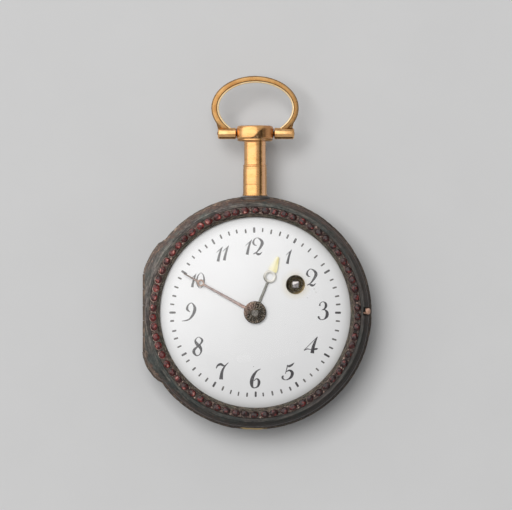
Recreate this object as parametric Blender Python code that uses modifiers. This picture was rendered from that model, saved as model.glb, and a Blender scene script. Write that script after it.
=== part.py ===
"""Antique pocket watch: key-wound verge movement with fusee, in a three-part hinged case.

Units are metres. The watch lies on its back: +Z points out of the dial, +Y to 12 o'clock and
+X to 3 o'clock. The origin is the middle of the flat land on the back cover, on the case axis.
"""

import math

import bmesh
import bpy
from mathutils import Matrix, Vector

MM = 0.001
TURN = 2.0 * math.pi
QUARTER = TURN / 4.0

# General clearances
SEAT = 0.05 * MM
RUN = 0.10 * MM
RIM_GAP = 0.10 * MM
OVERRUN = 1.00 * MM
WELD = 0.0002 * MM

# Case
CASE_RADIUS = 25.0 * MM
BEZEL_STEP = 0.20 * MM
COVER_STEP = 0.30 * MM
BAND_CORNER = 0.25 * MM
COVER_WALL = 0.60 * MM
COVER_CURVE = 8.50 * MM
COVER_POWER = 3.0
LAND_RADIUS = 5.00 * MM
BAND_HEIGHT = 2.20 * MM
BAND_WALL = 3.10 * MM
SKIRT_DEPTH = 1.10 * MM
SKIRT_INSET = 1.50 * MM
LEDGE_WIDTH = 1.00 * MM
CASE_STEPS = 44

# Flat and hinge at 9 o'clock
FLAT_HALF = 8.40 * MM
BAND_FLAT_INSET = 1.50 * MM
BAND_FLAT = CASE_RADIUS - BAND_FLAT_INSET
COVER_FLAT_INSET = 1.90 * MM
COVER_FLAT = CASE_RADIUS - COVER_FLAT_INSET
SKIRT_FLAT_INSET = 2.85 * MM
SKIRT_FLAT = CASE_RADIUS - SKIRT_FLAT_INSET
SHOULDER_RISE = 0.68 * MM
SHOULDER_SHARES = ((19.0, 0.63), (26.3, 0.79), (30.0, 1.0), (34.4, 0.47), (40.0, 0.0))
HINGE_INSET = 1.65 * MM
HINGE_X = HINGE_INSET - CASE_RADIUS
KNUCKLE_RADIUS = 0.70 * MM
HINGE_HALF = 8.30 * MM
HINGE_GAP = 0.10 * MM
COVER_KNUCKLE_HALF = 1.60 * MM
BEZEL_KNUCKLE_END = 5.05 * MM
HINGE_PIN_RADIUS = 0.30 * MM
HINGE_NOTCH_DEPTH = 1.00 * MM

# Bezel, stones and crystal
BEZEL_HEIGHT = 3.70 * MM
SLOPE_WIDTH = 1.80 * MM
SLOPE_SHARES = ((0.00, 1.00), (0.14, 0.98), (0.55, 0.74), (0.90, 0.36), (1.00, 0.08))
CHANNEL_INSET = 2.45 * MM
CHANNEL_OUTER = CASE_RADIUS - CHANNEL_INSET
CHANNEL_DEPTH = 0.80 * MM
CHANNEL_WIDTH = 1.40 * MM
GLASS_LEDGE = 0.95 * MM
GLASS_RADIUS = CHANNEL_OUTER - CHANNEL_WIDTH
SIGHT_RADIUS = GLASS_RADIUS - GLASS_LEDGE
GLASS_SEAT_DROP = 1.40 * MM
LIP_GAP = 0.30 * MM
STONE_COUNT = 66
STONE_GAP = 0.12 * MM
GLASS_GAP = 0.12 * MM
STONE_BORDER = 0.16 * MM
STONE_RISE = 0.35 * MM
STONE_SETTING = 0.45 * MM
TOP_FACE_SHARE = 0.5
GLASS_WALL = 0.60 * MM
GLASS_RISE = 2.60 * MM
GLASS_POWER = 2.4
GLASS_RIM = 0.50 * MM

# Push piece and latch spring at 3 o'clock
PUSH_RADIUS = 0.60 * MM
PUSH_SHAFT = 0.28 * MM
PUSH_INSET = 1.00 * MM
PUSH_CENTRE_X = CASE_RADIUS - PUSH_INSET
PUSH_DROP = 1.45 * MM
PUSH_TRAVEL = 0.40 * MM
PUSH_ROUND_SHARE = 0.8
POCKET_INSET = 2.55 * MM
POCKET_OUTER = CASE_RADIUS - POCKET_INSET
POCKET_DEPTH = 0.95 * MM
POCKET_INNER = POCKET_OUTER - POCKET_DEPTH
POCKET_HALF = 4.30 * MM
POCKET_ROOF_DROP = 1.05 * MM
LATCH_THICKNESS = 0.22 * MM
LATCH_HALF = 4.00 * MM
LATCH_HEIGHT = 1.60 * MM

# Pendant and bow at 12 o'clock
COLLAR_RADIUS = 3.40 * MM
COLLAR_LENGTH = 1.35 * MM
COLLAR_GAP = 0.30 * MM
NECK_FOOT = 2.70 * MM
NECK_RADIUS = 2.55 * MM
NECK_TOP_RADIUS = 2.33 * MM
NECK_LENGTH = 11.70 * MM
NECK_RING_SHARE = 0.55
NECK_RING = 0.35 * MM
HEAD_RADIUS = 4.00 * MM
HEAD_LENGTH = 3.40 * MM
HEAD_ROUND = 0.45 * MM
BOW_PIN_RADIUS = 0.50 * MM
BOW_KNUCKLE_RADIUS = 1.22 * MM
BOW_KNUCKLE_START = 4.15 * MM
BOW_KNUCKLE_END = 8.25 * MM
BOW_KNUCKLE_CHAMFER = 0.30 * MM
BOW_HALF_WIDTH = 9.25 * MM
BOW_HALF_HEIGHT = 6.84 * MM
BOW_TOP = 12.30 * MM
BOW_WIRE = 0.70 * MM
BOW_START_SHARE = 0.135
BOW_POINTS = 22

# Heights inside the case, measured forwards from the back
END_PIECE_GAP = 0.68 * MM
END_PIECE_THICKNESS = 0.35 * MM
COCK_THICKNESS = 0.50 * MM
BALANCE_GAP = 0.35 * MM
BALANCE_THICKNESS = 0.45 * MM
SPRING_GAP = 0.28 * MM
SPRING_WIRE = 0.12 * MM
SPRING_ROOM = 1.25 * MM
TOP_PLATE_THICKNESS = 1.00 * MM
PILLAR_LENGTH = 5.60 * MM
PILLAR_PLATE_THICKNESS = 1.00 * MM

COCK_BACK = COVER_WALL + END_PIECE_GAP + END_PIECE_THICKNESS
COCK_FRONT = COCK_BACK + COCK_THICKNESS
BALANCE_BACK = COCK_FRONT + BALANCE_GAP
BALANCE_FRONT = BALANCE_BACK + BALANCE_THICKNESS
TOP_BACK = BALANCE_FRONT + SPRING_ROOM
TOP_FRONT = TOP_BACK + TOP_PLATE_THICKNESS
PILLAR_BACK = TOP_FRONT + PILLAR_LENGTH
PILLAR_FRONT = PILLAR_BACK + PILLAR_PLATE_THICKNESS
BAND_BACK = PILLAR_BACK - RIM_GAP
BAND_FRONT = BAND_BACK + BAND_HEIGHT
HINGE_Z = (BAND_BACK + BAND_FRONT) / 2.0
COVER_RIM = BAND_BACK - RIM_GAP
BEZEL_BACK = BAND_FRONT + RIM_GAP
BEZEL_FRONT = BEZEL_BACK + BEZEL_HEIGHT
GLASS_SEAT = BEZEL_FRONT - GLASS_SEAT_DROP
CHANNEL_FLOOR = BEZEL_FRONT - CHANNEL_DEPTH
BOW_AXIS_Y = CASE_RADIUS + NECK_LENGTH + HEAD_LENGTH / 2.0

# Plates and pillars
PLATE_GAP = 0.20 * MM
PLATE_RADIUS = CASE_RADIUS - BAND_WALL - PLATE_GAP
TOP_PLATE_INSET = 2.10 * MM
TOP_PLATE_RADIUS = PLATE_RADIUS - TOP_PLATE_INSET
PILLAR_INSET = 2.00 * MM
PILLAR_CIRCLE = TOP_PLATE_RADIUS - PILLAR_INSET
PILLAR_ANGLES = (92.0, 350.0, 265.0, 192.0)
PILLAR_RADIUS = 0.95 * MM
PILLAR_WAIST = 0.60 * MM
PILLAR_PIVOT = 0.50 * MM
DIAL_PLATE_INSET = 0.50 * MM
DIAL_PLATE_OUTER = PLATE_RADIUS - DIAL_PLATE_INSET
DIAL_PLATE_WIDTH = 3.20 * MM
DIAL_PLATE_INNER = DIAL_PLATE_OUTER - DIAL_PLATE_WIDTH
DIAL_PLATE_THICKNESS = 1.35 * MM

# Dial
DIAL_INSET = 0.80 * MM
DIAL_RADIUS = PLATE_RADIUS - DIAL_INSET
DIAL_THICKNESS = 0.80 * MM
DIAL_RISE = 1.20 * MM
DIAL_CENTRE_HOLE = 1.55 * MM
WINDING_HOLE = 2.00 * MM
DIAL_FOOT_RADIUS = 0.45 * MM
DIAL_FOOT_INSET = 1.00 * MM
DIAL_FOOT_CIRCLE = DIAL_PLATE_INNER - DIAL_FOOT_INSET
DIAL_FOOT_ANGLES = (75.0, 180.0, 300.0)
DIAL_BACK = PILLAR_FRONT + SEAT + DIAL_PLATE_THICKNESS + SEAT
DIAL_FRONT = DIAL_BACK + DIAL_THICKNESS

# Hands
HOUR_HAND_GAP = 0.40 * MM
HAND_THICKNESS = 0.20 * MM
MINUTE_HAND_GAP = 0.30 * MM
HOUR_HAND_BACK = DIAL_FRONT + DIAL_RISE + HOUR_HAND_GAP
MINUTE_HAND_BACK = HOUR_HAND_BACK + HAND_THICKNESS + MINUTE_HAND_GAP
MINUTE_HAND_ANGLE = 299.1
MINUTE_HAND_INSET = 3.50 * MM
MINUTE_HAND_LENGTH = DIAL_RADIUS - MINUTE_HAND_INSET
MINUTE_TIP_LENGTH = 4.20 * MM
MINUTE_RING_PLACE = MINUTE_HAND_LENGTH - MINUTE_TIP_LENGTH
MINUTE_RING_OUTER = 0.72 * MM
MINUTE_RING_INNER = 0.36 * MM
MINUTE_STEM = 0.26 * MM
MINUTE_STEM_END = 0.18 * MM
MINUTE_TIP = 0.30 * MM
MINUTE_TIP_PLACE = (2.0 * MINUTE_RING_PLACE + MINUTE_HAND_LENGTH) / 3.0
HOUR_HAND_ANGLE = 22.0
HOUR_HAND_INSET = 4.50 * MM
HOUR_HAND_LENGTH = MINUTE_HAND_LENGTH - HOUR_HAND_INSET
HOUR_TIP_LENGTH = 4.44 * MM
HOUR_RING_PLACE = HOUR_HAND_LENGTH - HOUR_TIP_LENGTH
HOUR_RING_OUTER = 1.43 * MM
HOUR_RING_INNER = 0.78 * MM
HOUR_STEM = 0.30 * MM
HOUR_TIP = 1.00 * MM
HOUR_BOSS = 1.90 * MM
BOSS_RADIUS = 2.38 * MM
BOSS_RISE = 0.45 * MM
BOSS_SHARES = ((0.00, 1.00), (0.50, 0.85), (0.85, 0.40), (1.00, 0.00))
CANNON_SQUARE = 1.10 * MM
CANNON_SQUARE_RISE = 0.40 * MM

# Train: places of the arbors and counts of the teeth
FUSEE_SHARES = (0.3977, 0.2788)
BARREL_SHARES = (-0.4284, 0.2534)
THIRD_SHARES = (0.2873, -0.1467)
CONTRATE_SHARES = (0.3318, -0.4055)
VERGE_SHARES = (-0.1613, -0.4055)
REGULATOR_SHARES = (0.3594, 0.1567)
CONTRATE_RIM_GAP = 1.30 * MM
GREAT_TEETH = 48
CENTRE_LEAVES = 12
CENTRE_TEETH = 54
THIRD_LEAVES = 6
THIRD_TEETH = 48
CONTRATE_LEAVES = 6
CONTRATE_TEETH = 42
ESCAPE_LEAVES = 6
ESCAPE_TEETH = 15
TIP_SHARE = 0.42
ROOT_SHARE = 1.05
LEAF_TIP_SHARE = 0.38
LEAF_ROOT_SHARE = 0.95
LEAF_WIDTH_SHARE = 0.56
ARBOR_RADIUS = 0.38 * MM
PIVOT_RADIUS = 0.20 * MM
PIVOT_CLEARANCE = 0.06 * MM
WHEEL_BORE_GAP = 0.03 * MM
WHEEL_THICKNESS = 0.50 * MM
HUB_RADIUS = 1.10 * MM
RIM_WIDTH = 0.70 * MM
SPOKE_HALF = 0.32 * MM

# Levels of the train, measured from the inner faces of the plates
CENTRE_WHEEL_DROP = 0.85 * MM
GREAT_WHEEL_DROP = 1.90 * MM
GREAT_WHEEL_THICKNESS = 0.60 * MM
CENTRE_PINION_LENGTH = 1.00 * MM
THIRD_WHEEL_RISE = 0.50 * MM
CONTRATE_PINION_LENGTH = 0.90 * MM
CONTRATE_WEB_DROP = 1.50 * MM
CONTRATE_WEB = 0.40 * MM
CONTRATE_RIM = 0.60 * MM
CONTRATE_TOOTH = 0.60 * MM
CONTRATE_BITE = 0.10 * MM

# Barrel, mainspring and set-up work
BARREL_TO_CENTRE = 2.90 * MM
BARREL_WALL = 0.40 * MM
BARREL_RISE = 0.50 * MM
BARREL_HEIGHT = 3.90 * MM
BARREL_ARBOR_RADIUS = 1.50 * MM
BARREL_PIVOT = 0.70 * MM
BARREL_SQUARE = 0.90 * MM
MAINSPRING_TURNS = 5
MAINSPRING_STRIP = 0.25 * MM
MAINSPRING_GAP = 0.20 * MM
MAINSPRING_POINTS = 12
RATCHET_TEETH = 16
RATCHET_RADIUS = 1.95 * MM
RATCHET_TOOTH = 0.35 * MM
RATCHET_LEAN_SHARE = 0.083
RATCHET_THICKNESS = 0.55 * MM
CLICK_GAP = 1.19 * MM
CLICK_REACH = RATCHET_RADIUS + CLICK_GAP
CLICK_ANGLE = -30.65
CLICK_RADIUS = 0.60 * MM
CLICK_WIDTH = 0.28 * MM
CLICK_GAP = 0.12 * MM

# Fusee and chain
FUSEE_TO_GREAT_RIM = 1.13 * MM
FUSEE_SMALL_RADIUS = 3.60 * MM
FUSEE_GROOVES = 4
FUSEE_POWER = 1.5
FUSEE_GROOVE_DEPTH = 0.30 * MM
FUSEE_ARBOR_RADIUS = 0.90 * MM
WINDING_SQUARE = 1.25 * MM
WINDING_SQUARE_REST = 0.30 * MM
CHAIN_RADIUS = 0.22 * MM
CHAIN_TURNS = 1.6
CHAIN_WRAP_TURNS = 0.42
CHAIN_POINTS_PER_TURN = 20
CHAIN_GAP = 0.16 * MM

# Escapement
CROWN_RADIUS = 2.00 * MM
CROWN_WALL = 0.28 * MM
CROWN_DEPTH = 1.40 * MM
CROWN_TOOTH = 0.60 * MM
CROWN_LEAN_SHARE = 0.3
CROWN_WEB = 0.35 * MM
CROWN_TO_VERGE = 0.90 * MM
ESCAPE_ARBOR_RADIUS = 0.26 * MM
ESCAPE_PIVOT = 0.14 * MM
ESCAPE_PINION_LENGTH = 1.10 * MM
VERGE_RADIUS = 0.24 * MM
VERGE_PIVOT = 0.14 * MM
PALLET_REACH = 0.76 * MM
PALLET_THICKNESS = 0.16 * MM
PALLET_HEIGHT = 0.75 * MM
PALLET_ANGLE = 50.0
VERGE_COLLET = 0.60 * MM
POTENCE_BACK = 2.20 * MM
POTENCE_WIDTH = 2.20 * MM
POTENCE_THICKNESS = 1.10 * MM
POTENCE_FOOT = 0.45 * MM
POTENCE_FOOT_GAP = 0.12 * MM
NOSE_SIZE = 0.60 * MM
NOSE_THICKNESS = 0.35 * MM
FOLLOWER_INSET = 2.55 * MM
FOLLOWER_THICKNESS = 0.60 * MM
FOLLOWER_HALF = 0.42 * MM
FOLLOWER_OVER = 0.60 * MM

# Balance, cock and regulator
BALANCE_RIM = 0.60 * MM
SPRING_INNER = 0.85 * MM
SPRING_PITCH = 0.78 * MM
SPRING_TURNS = 3.6
SPRING_POINTS_PER_TURN = 10
STUD_SIZE = 0.70 * MM
STUD_GAP = 0.45 * MM
COCK_COVER_GAP = 0.79 * MM
COCK_OVER_BALANCE = 0.70 * MM
COCK_RIM = 0.80 * MM
COCK_HUB = 1.90 * MM
COCK_WINDOWS = 6
COCK_RIB_HALF = 0.24 * MM
COCK_EAR_OVER_BALANCE = 1.50 * MM
COCK_EAR_RADIUS = 1.20 * MM
COCK_SCREW_RADIUS = 0.45 * MM
COCK_SCREW_HEAD = 0.80 * MM
COCK_SCREW_HEAD_HEIGHT = 0.45 * MM
END_PIECE_RADIUS = 1.15 * MM
FIGURE_PLATE_RADIUS = 3.00 * MM
FIGURE_PLATE_THICKNESS = 0.40 * MM
REGULATOR_RADIUS = 2.10 * MM
REGULATOR_THICKNESS = 0.40 * MM
REGULATOR_SQUARE = 0.90 * MM
REGULATOR_PIN = 0.50 * MM
REGULATOR_POINTER = 0.52 * MM
REGULATOR_POINTER_ANGLE = 12.0

# Motion work under the dial
MOTION_MODULE = 0.190 * MM
CANNON_LEAVES = 10
MINUTE_TEETH = 30
MINUTE_LEAVES = 8
HOUR_TEETH = 32
MINUTE_WHEEL_ANGLE = 250.0
MOTION_THICKNESS = 0.40 * MM
MOTION_RISE = 0.20 * MM
MOTION_STEP = 0.65 * MM
CENTRE_FRONT_RADIUS = 0.42 * MM
CANNON_BORE_GAP = 0.05 * MM
CANNON_WALL = 0.26 * MM
HOUR_PIPE_GAP = 0.08 * MM
HOUR_PIPE_WALL = 0.32 * MM
MINUTE_STUD_RADIUS = 0.32 * MM

# Colours and finishes: red, green, blue, metallic, roughness
SILVER_DARK = (0.10, 0.10, 0.11, 1.0, 0.45)
COPPER = (0.60, 0.34, 0.24, 1.0, 0.40)
GOLD = (0.83, 0.55, 0.24, 1.0, 0.28)
BRASS = (0.72, 0.53, 0.25, 1.0, 0.35)
STEEL = (0.50, 0.51, 0.53, 1.0, 0.32)
BLUE_STEEL = (0.08, 0.12, 0.32, 1.0, 0.30)
ENAMEL = (0.88, 0.88, 0.86, 0.0, 0.15)
GLASS = (0.90, 0.94, 0.94, 0.0, 0.05)
GARNET = (0.25, 0.02, 0.03, 0.0, 0.12)

SMOOTH_ANGLE = math.radians(32.0)
PARTS = bpy.data.collections.new("pocket_watch")
CUTTERS = bpy.data.collections.new("pocket_watch_cutters")


# Tools for making shapes


def clear_scene():
    """Start from an empty scene with a collection for parts and one for cutters."""
    for old in list(bpy.data.objects):
        bpy.data.objects.remove(old)
    bpy.context.scene.collection.children.link(PARTS)
    bpy.context.scene.collection.children.link(CUTTERS)


def polar(radius, angle):
    """The point at this radius and angle in a plane."""
    return (radius * math.cos(angle), radius * math.sin(angle))


def linked(name, data):
    """A new object among the parts."""
    piece = bpy.data.objects.new(name, data)
    PARTS.objects.link(piece)
    return piece


def baked(piece):
    """The object as its curve settings and modifiers leave it, as a plain welded mesh."""
    graph = bpy.context.evaluated_depsgraph_get()
    mesh = bpy.data.meshes.new_from_object(piece.evaluated_get(graph))
    work = bmesh.new()
    work.from_mesh(mesh)
    bmesh.ops.remove_doubles(work, verts=work.verts, dist=WELD)
    bmesh.ops.recalc_face_normals(work, faces=work.faces)
    work.to_mesh(mesh)
    work.free()
    name = piece.name
    place = piece.matrix_basis.copy()
    bpy.data.objects.remove(piece)
    solid = linked(name, mesh)
    solid.matrix_basis = place
    return solid


def turned(name, outline, steps):
    """A profile of (radius, height) points turned about Z. It is closed unless it ends on the axis."""
    mesh = bpy.data.meshes.new(name)
    count = len(outline)
    edges = [(k, k + 1) for k in range(count - 1)]
    if outline[0][0] > WELD:
        edges.append((count - 1, 0))
    mesh.from_pydata([(radius, 0.0, height) for radius, height in outline], edges, [])
    piece = linked(name, mesh)
    screw = piece.modifiers.new("turn", "SCREW")
    screw.steps = steps
    screw.render_steps = steps
    screw.use_merge_vertices = True
    screw.merge_threshold = WELD
    return baked(piece)


def plate(name, outlines, back, front):
    """Flat outlines, the first outside and the rest holes, filled from one height to another."""
    curve = bpy.data.curves.new(name, "CURVE")
    curve.dimensions = "2D"
    curve.fill_mode = "BOTH"
    curve.extrude = (front - back) / 2.0
    for outline in outlines:
        spline = curve.splines.new("POLY")
        spline.points.add(len(outline) - 1)
        for point, (x, y) in zip(spline.points, outline):
            point.co = (x, y, 0.0, 1.0)
        spline.use_cyclic_u = True
    piece = linked(name, curve)
    piece.location.z = (front + back) / 2.0
    piece = baked(piece)
    piece.data.transform(Matrix.Translation(piece.location))
    piece.location = (0.0, 0.0, 0.0)
    return piece


def tube(name, points, radius, fineness=1):
    """A round wire along points, with filled ends."""
    curve = bpy.data.curves.new(name, "CURVE")
    curve.dimensions = "3D"
    curve.bevel_depth = radius
    curve.bevel_resolution = fineness
    curve.use_fill_caps = True
    spline = curve.splines.new("POLY")
    spline.points.add(len(points) - 1)
    for point, place in zip(spline.points, points):
        point.co = (*place, 1.0)
    return baked(linked(name, curve))


def box(name, low, high):
    """A block between two corners."""
    work = bmesh.new()
    bmesh.ops.create_cube(work, size=1.0)
    middle = (Vector(low) + Vector(high)) / 2.0
    sides = Vector(high) - Vector(low)
    bmesh.ops.scale(work, vec=sides, verts=work.verts)
    bmesh.ops.translate(work, vec=middle, verts=work.verts)
    mesh = bpy.data.meshes.new(name)
    work.to_mesh(mesh)
    work.free()
    return linked(name, mesh)


def rod(name, radius, back, front, steps=16):
    """A plain cylinder about Z."""
    return turned(name, [(0.0, front), (radius, front), (radius, back), (0.0, back)], steps)


def along_x(piece, y, z):
    """Turn a piece made about Z so that its height runs along X, and bake the turn in."""
    piece.data.transform(Matrix.Translation((0.0, y, z)) @ Matrix.Rotation(QUARTER, 4, "Y"))
    return piece


def along_y(piece, x, z):
    """Turn a piece made about Z so that its height runs along Y, and bake the turn in."""
    piece.data.transform(Matrix.Translation((x, 0.0, z)) @ Matrix.Rotation(-QUARTER, 4, "X"))
    return piece


def moved(piece, x, y, z=0.0):
    """Shift a piece's shape and leave its origin."""
    piece.data.transform(Matrix.Translation((x, y, z)))
    return piece


def combined(piece, other, operation):
    """Join, cut or intersect a piece with another, which is used up."""
    PARTS.objects.unlink(other)
    CUTTERS.objects.link(other)
    other.display_type = "WIRE"
    other.hide_render = True
    boolean = piece.modifiers.new("combine", "BOOLEAN")
    boolean.operation = operation
    boolean.solver = "EXACT"
    boolean.object = other
    result = baked(piece)
    bpy.data.objects.remove(other)
    return result


def joined(piece, *others):
    """The piece fused with others."""
    for other in others:
        piece = combined(piece, other, "UNION")
    return piece


def cut(piece, *others):
    """The piece less others."""
    for other in others:
        piece = combined(piece, other, "DIFFERENCE")
    return piece


def finish(piece, look, spot=(0.0, 0.0), smooth=True):
    """Give a piece its material, its shading and its place on the movement."""
    red, green, blue, metallic, roughness = look
    material = bpy.data.materials.new(piece.name)
    material.use_nodes = True
    shader = material.node_tree.nodes["Principled BSDF"]
    shader.inputs["Base Color"].default_value = (red, green, blue, 1.0)
    shader.inputs["Metallic"].default_value = metallic
    shader.inputs["Roughness"].default_value = roughness
    material.diffuse_color = (red, green, blue, 1.0)
    piece.data.materials.clear()
    piece.data.materials.append(material)
    if smooth:
        piece.data.shade_smooth()
        piece.data.set_sharp_from_angle(angle=SMOOTH_ANGLE)
    piece.location.x = spot[0]
    piece.location.y = spot[1]
    return piece


def hang_on(name, point, pieces):
    """Parent pieces to an empty that stands on their joint's axis."""
    pivot = linked(name, None)
    pivot.location = point
    for piece in pieces:
        piece.parent = pivot
        piece.matrix_parent_inverse = Matrix.Translation(-Vector(point))
    return pivot


# Outlines


def circle(radius, steps, start=0.0):
    """Points round a circle."""
    return [polar(radius, start + TURN * k / steps) for k in range(steps)]


def shifted(outline, place):
    """An outline moved to a place."""
    return [(x + place[0], y + place[1]) for x, y in outline]


def square(side):
    """A square about the middle."""
    half = side / 2.0
    return [(-half, -half), (half, -half), (half, half), (-half, half)]


def wheel_outline(teeth, module, start):
    """The pointed teeth round a wheel, with a tooth's tip at the start angle."""
    pitch_radius = teeth * module / 2.0
    pitch = TURN / teeth
    points = []
    for k in range(teeth):
        middle = start + k * pitch
        points.append(polar(pitch_radius + TIP_SHARE * module, middle))
        points.append(polar(pitch_radius - ROOT_SHARE * module, middle + pitch / 2.0))
    return points


def pinion_outline(leaves, module, start):
    """The slim leaves round a pinion, with a leaf's tip at the start angle."""
    pitch_radius = leaves * module / 2.0
    root = pitch_radius - LEAF_ROOT_SHARE * module
    pitch = TURN / leaves
    half = LEAF_WIDTH_SHARE * pitch / 2.0
    points = []
    for k in range(leaves):
        middle = start + k * pitch
        points.append(polar(root, middle - half))
        points.append(polar(pitch_radius + LEAF_TIP_SHARE * module, middle))
        points.append(polar(root, middle + half))
    return points


def windows(count, inner, outer, rib_half, start=0.0, steps=4):
    """Openings between the ribs of a wheel: each has an inner and an outer arc."""
    outlines = []
    for k in range(count):
        first = start + TURN * k / count
        last = first + TURN / count
        outlines.append(
            arc(outer, first + rib_half / outer, last - rib_half / outer, steps)
            + arc(inner, last - rib_half / inner, first + rib_half / inner, steps // 2)
        )
    return outlines


def arc(radius, first, last, steps):
    """Points along an arc, both ends included."""
    return [polar(radius, first + (last - first) * k / steps) for k in range(steps + 1)]


def direction(first, second):
    """The angle of the line from one place to another."""
    return math.atan2(second[1] - first[1], second[0] - first[0])


def distance(first, second):
    """How far apart two places are."""
    return math.hypot(second[0] - first[0], second[1] - first[1])


def place(shares):
    """A place on the plates, from shares of their radius."""
    return (PLATE_RADIUS * shares[0], PLATE_RADIUS * shares[1])


def dome_reach(level):
    """How far out the inside of the back cover is clear at a level."""
    down = (COVER_CURVE - level) / (COVER_CURVE - COVER_WALL)
    share = (1.0 - down ** COVER_POWER) ** (1.0 / COVER_POWER)
    return (CASE_RADIUS - COVER_STEP - COVER_WALL) * share


CENTRE_PLACE = (0.0, 0.0)
FUSEE_PLACE = place(FUSEE_SHARES)
BARREL_PLACE = place(BARREL_SHARES)
THIRD_PLACE = place(THIRD_SHARES)
CONTRATE_PLACE = place(CONTRATE_SHARES)
VERGE_PLACE = place(VERGE_SHARES)
REGULATOR_PLACE = place(REGULATOR_SHARES)
CLICK_PLACE = polar(CLICK_REACH, math.radians(CLICK_ANGLE))
CENTRE_TO_THIRD = distance(CENTRE_PLACE, THIRD_PLACE)
THIRD_TO_CONTRATE = distance(THIRD_PLACE, CONTRATE_PLACE)
CONTRATE_PITCH_RADIUS = THIRD_TO_CONTRATE - CONTRATE_RIM_GAP
BARREL_RADIUS = distance(CENTRE_PLACE, BARREL_PLACE) - BARREL_TO_CENTRE
COCK_REACH = dome_reach(COCK_BACK) - COCK_COVER_GAP
COCK_RADIUS = COCK_REACH - distance(CENTRE_PLACE, VERGE_PLACE)
BALANCE_RADIUS = COCK_RADIUS - COCK_OVER_BALANCE
COCK_EAR_PLACE = BALANCE_RADIUS + COCK_EAR_OVER_BALANCE
GREAT_MODULE = 2.0 * distance(CENTRE_PLACE, FUSEE_PLACE) / (GREAT_TEETH + CENTRE_LEAVES)
CENTRE_MODULE = 2.0 * CENTRE_TO_THIRD / (CENTRE_TEETH + THIRD_LEAVES)
THIRD_MODULE = 2.0 * THIRD_TO_CONTRATE / (THIRD_TEETH + CONTRATE_LEAVES)
CONTRATE_MODULE = 2.0 * CONTRATE_PITCH_RADIUS / CONTRATE_TEETH
FUSEE_BIG_RADIUS = GREAT_TEETH * GREAT_MODULE / 2.0 - FUSEE_TO_GREAT_RIM
MOTION_REACH = MOTION_MODULE * (CANNON_LEAVES + MINUTE_TEETH) / 2.0
MINUTE_PLACE = polar(MOTION_REACH, math.radians(MINUTE_WHEEL_ANGLE))
CANNON_BORE = CENTRE_FRONT_RADIUS + CANNON_BORE_GAP
CANNON_PIPE = CANNON_BORE + CANNON_WALL
HOUR_BORE = CANNON_PIPE + HOUR_PIPE_GAP
HOUR_PIPE = HOUR_BORE + HOUR_PIPE_WALL
ESCAPE_Z = (TOP_FRONT + PILLAR_BACK) / 2.0
FUSEE_BACK = TOP_FRONT + BARREL_RISE
GREAT_FRONT = PILLAR_BACK - GREAT_WHEEL_DROP + GREAT_WHEEL_THICKNESS
GREAT_BACK = PILLAR_BACK - GREAT_WHEEL_DROP
FUSEE_FRONT = GREAT_BACK - SEAT
CENTRE_WHEEL_BACK = PILLAR_BACK - CENTRE_WHEEL_DROP


# Case


def dome(radius, height, power, steps):
    """Points of a flattened dome, (radius, height) from its rim inwards to the top."""
    points = []
    for k in range(steps + 1):
        angle = QUARTER * k / steps
        across = math.cos(angle) ** (2.0 / power)
        up = math.sin(angle) ** (2.0 / power)
        points.append((radius * across if k < steps else 0.0, height * up))
    return points


def shoulder(degrees_from_nine):
    """How far the case bulges beyond its circle beside the hinge flat."""
    if degrees_from_nine < SHOULDER_SHARES[0][0]:
        return SHOULDER_RISE * SHOULDER_SHARES[0][1]
    for (low, low_share), (high, high_share) in zip(SHOULDER_SHARES, SHOULDER_SHARES[1:]):
        if degrees_from_nine <= high:
            share = low_share + (high_share - low_share) * (degrees_from_nine - low) / (high - low)
            return SHOULDER_RISE * share
    return 0.0


def press_flat(piece, flat, reach):
    """Press the 9 o'clock side of a turned piece back to a flat, as far out as a reach."""
    for vertex in piece.data.vertices:
        if math.hypot(vertex.co.x, vertex.co.y) < reach:
            vertex.co.x = max(vertex.co.x, -flat)
    return piece


def hinge_flat(piece, flat):
    """Cut the flat for the hinge into a case piece's 9 o'clock side."""
    low = (-CASE_RADIUS - OVERRUN, -FLAT_HALF, -OVERRUN)
    return cut(piece, box("flat", low, (-flat, FLAT_HALF, BEZEL_FRONT + OVERRUN)))


def add_shoulders(piece, inner):
    """Swell a turned piece outside an inner radius on both sides of the hinge."""
    for vertex in piece.data.vertices:
        x, y = vertex.co.x, vertex.co.y
        radius = math.hypot(x, y)
        if x < 0.0 and radius > inner:
            grown = 1.0 + shoulder(math.degrees(abs(math.atan2(y, -x)))) / radius
            vertex.co.x = x * grown
            vertex.co.y = y * grown
    return piece


def hinge_knuckle(name, first, last, steps=12):
    """A length of hinge barrel along Y."""
    return along_y(rod(name, KNUCKLE_RADIUS, first, last, steps), HINGE_X, HINGE_Z)


def hinge_bore():
    """The hole for the hinge pin."""
    reach = HINGE_HALF + SEAT
    return along_y(rod("bore", HINGE_PIN_RADIUS + SEAT, -reach, reach, 10), HINGE_X, HINGE_Z)


def collar_space(name, radius):
    """The round space about the pendant's axis that the cover and bezel leave for the collar."""
    inner = CASE_RADIUS - COLLAR_LENGTH - COLLAR_GAP
    return along_y(rod(name, radius, inner, CASE_RADIUS + OVERRUN, 24), 0.0, HINGE_Z)


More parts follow.
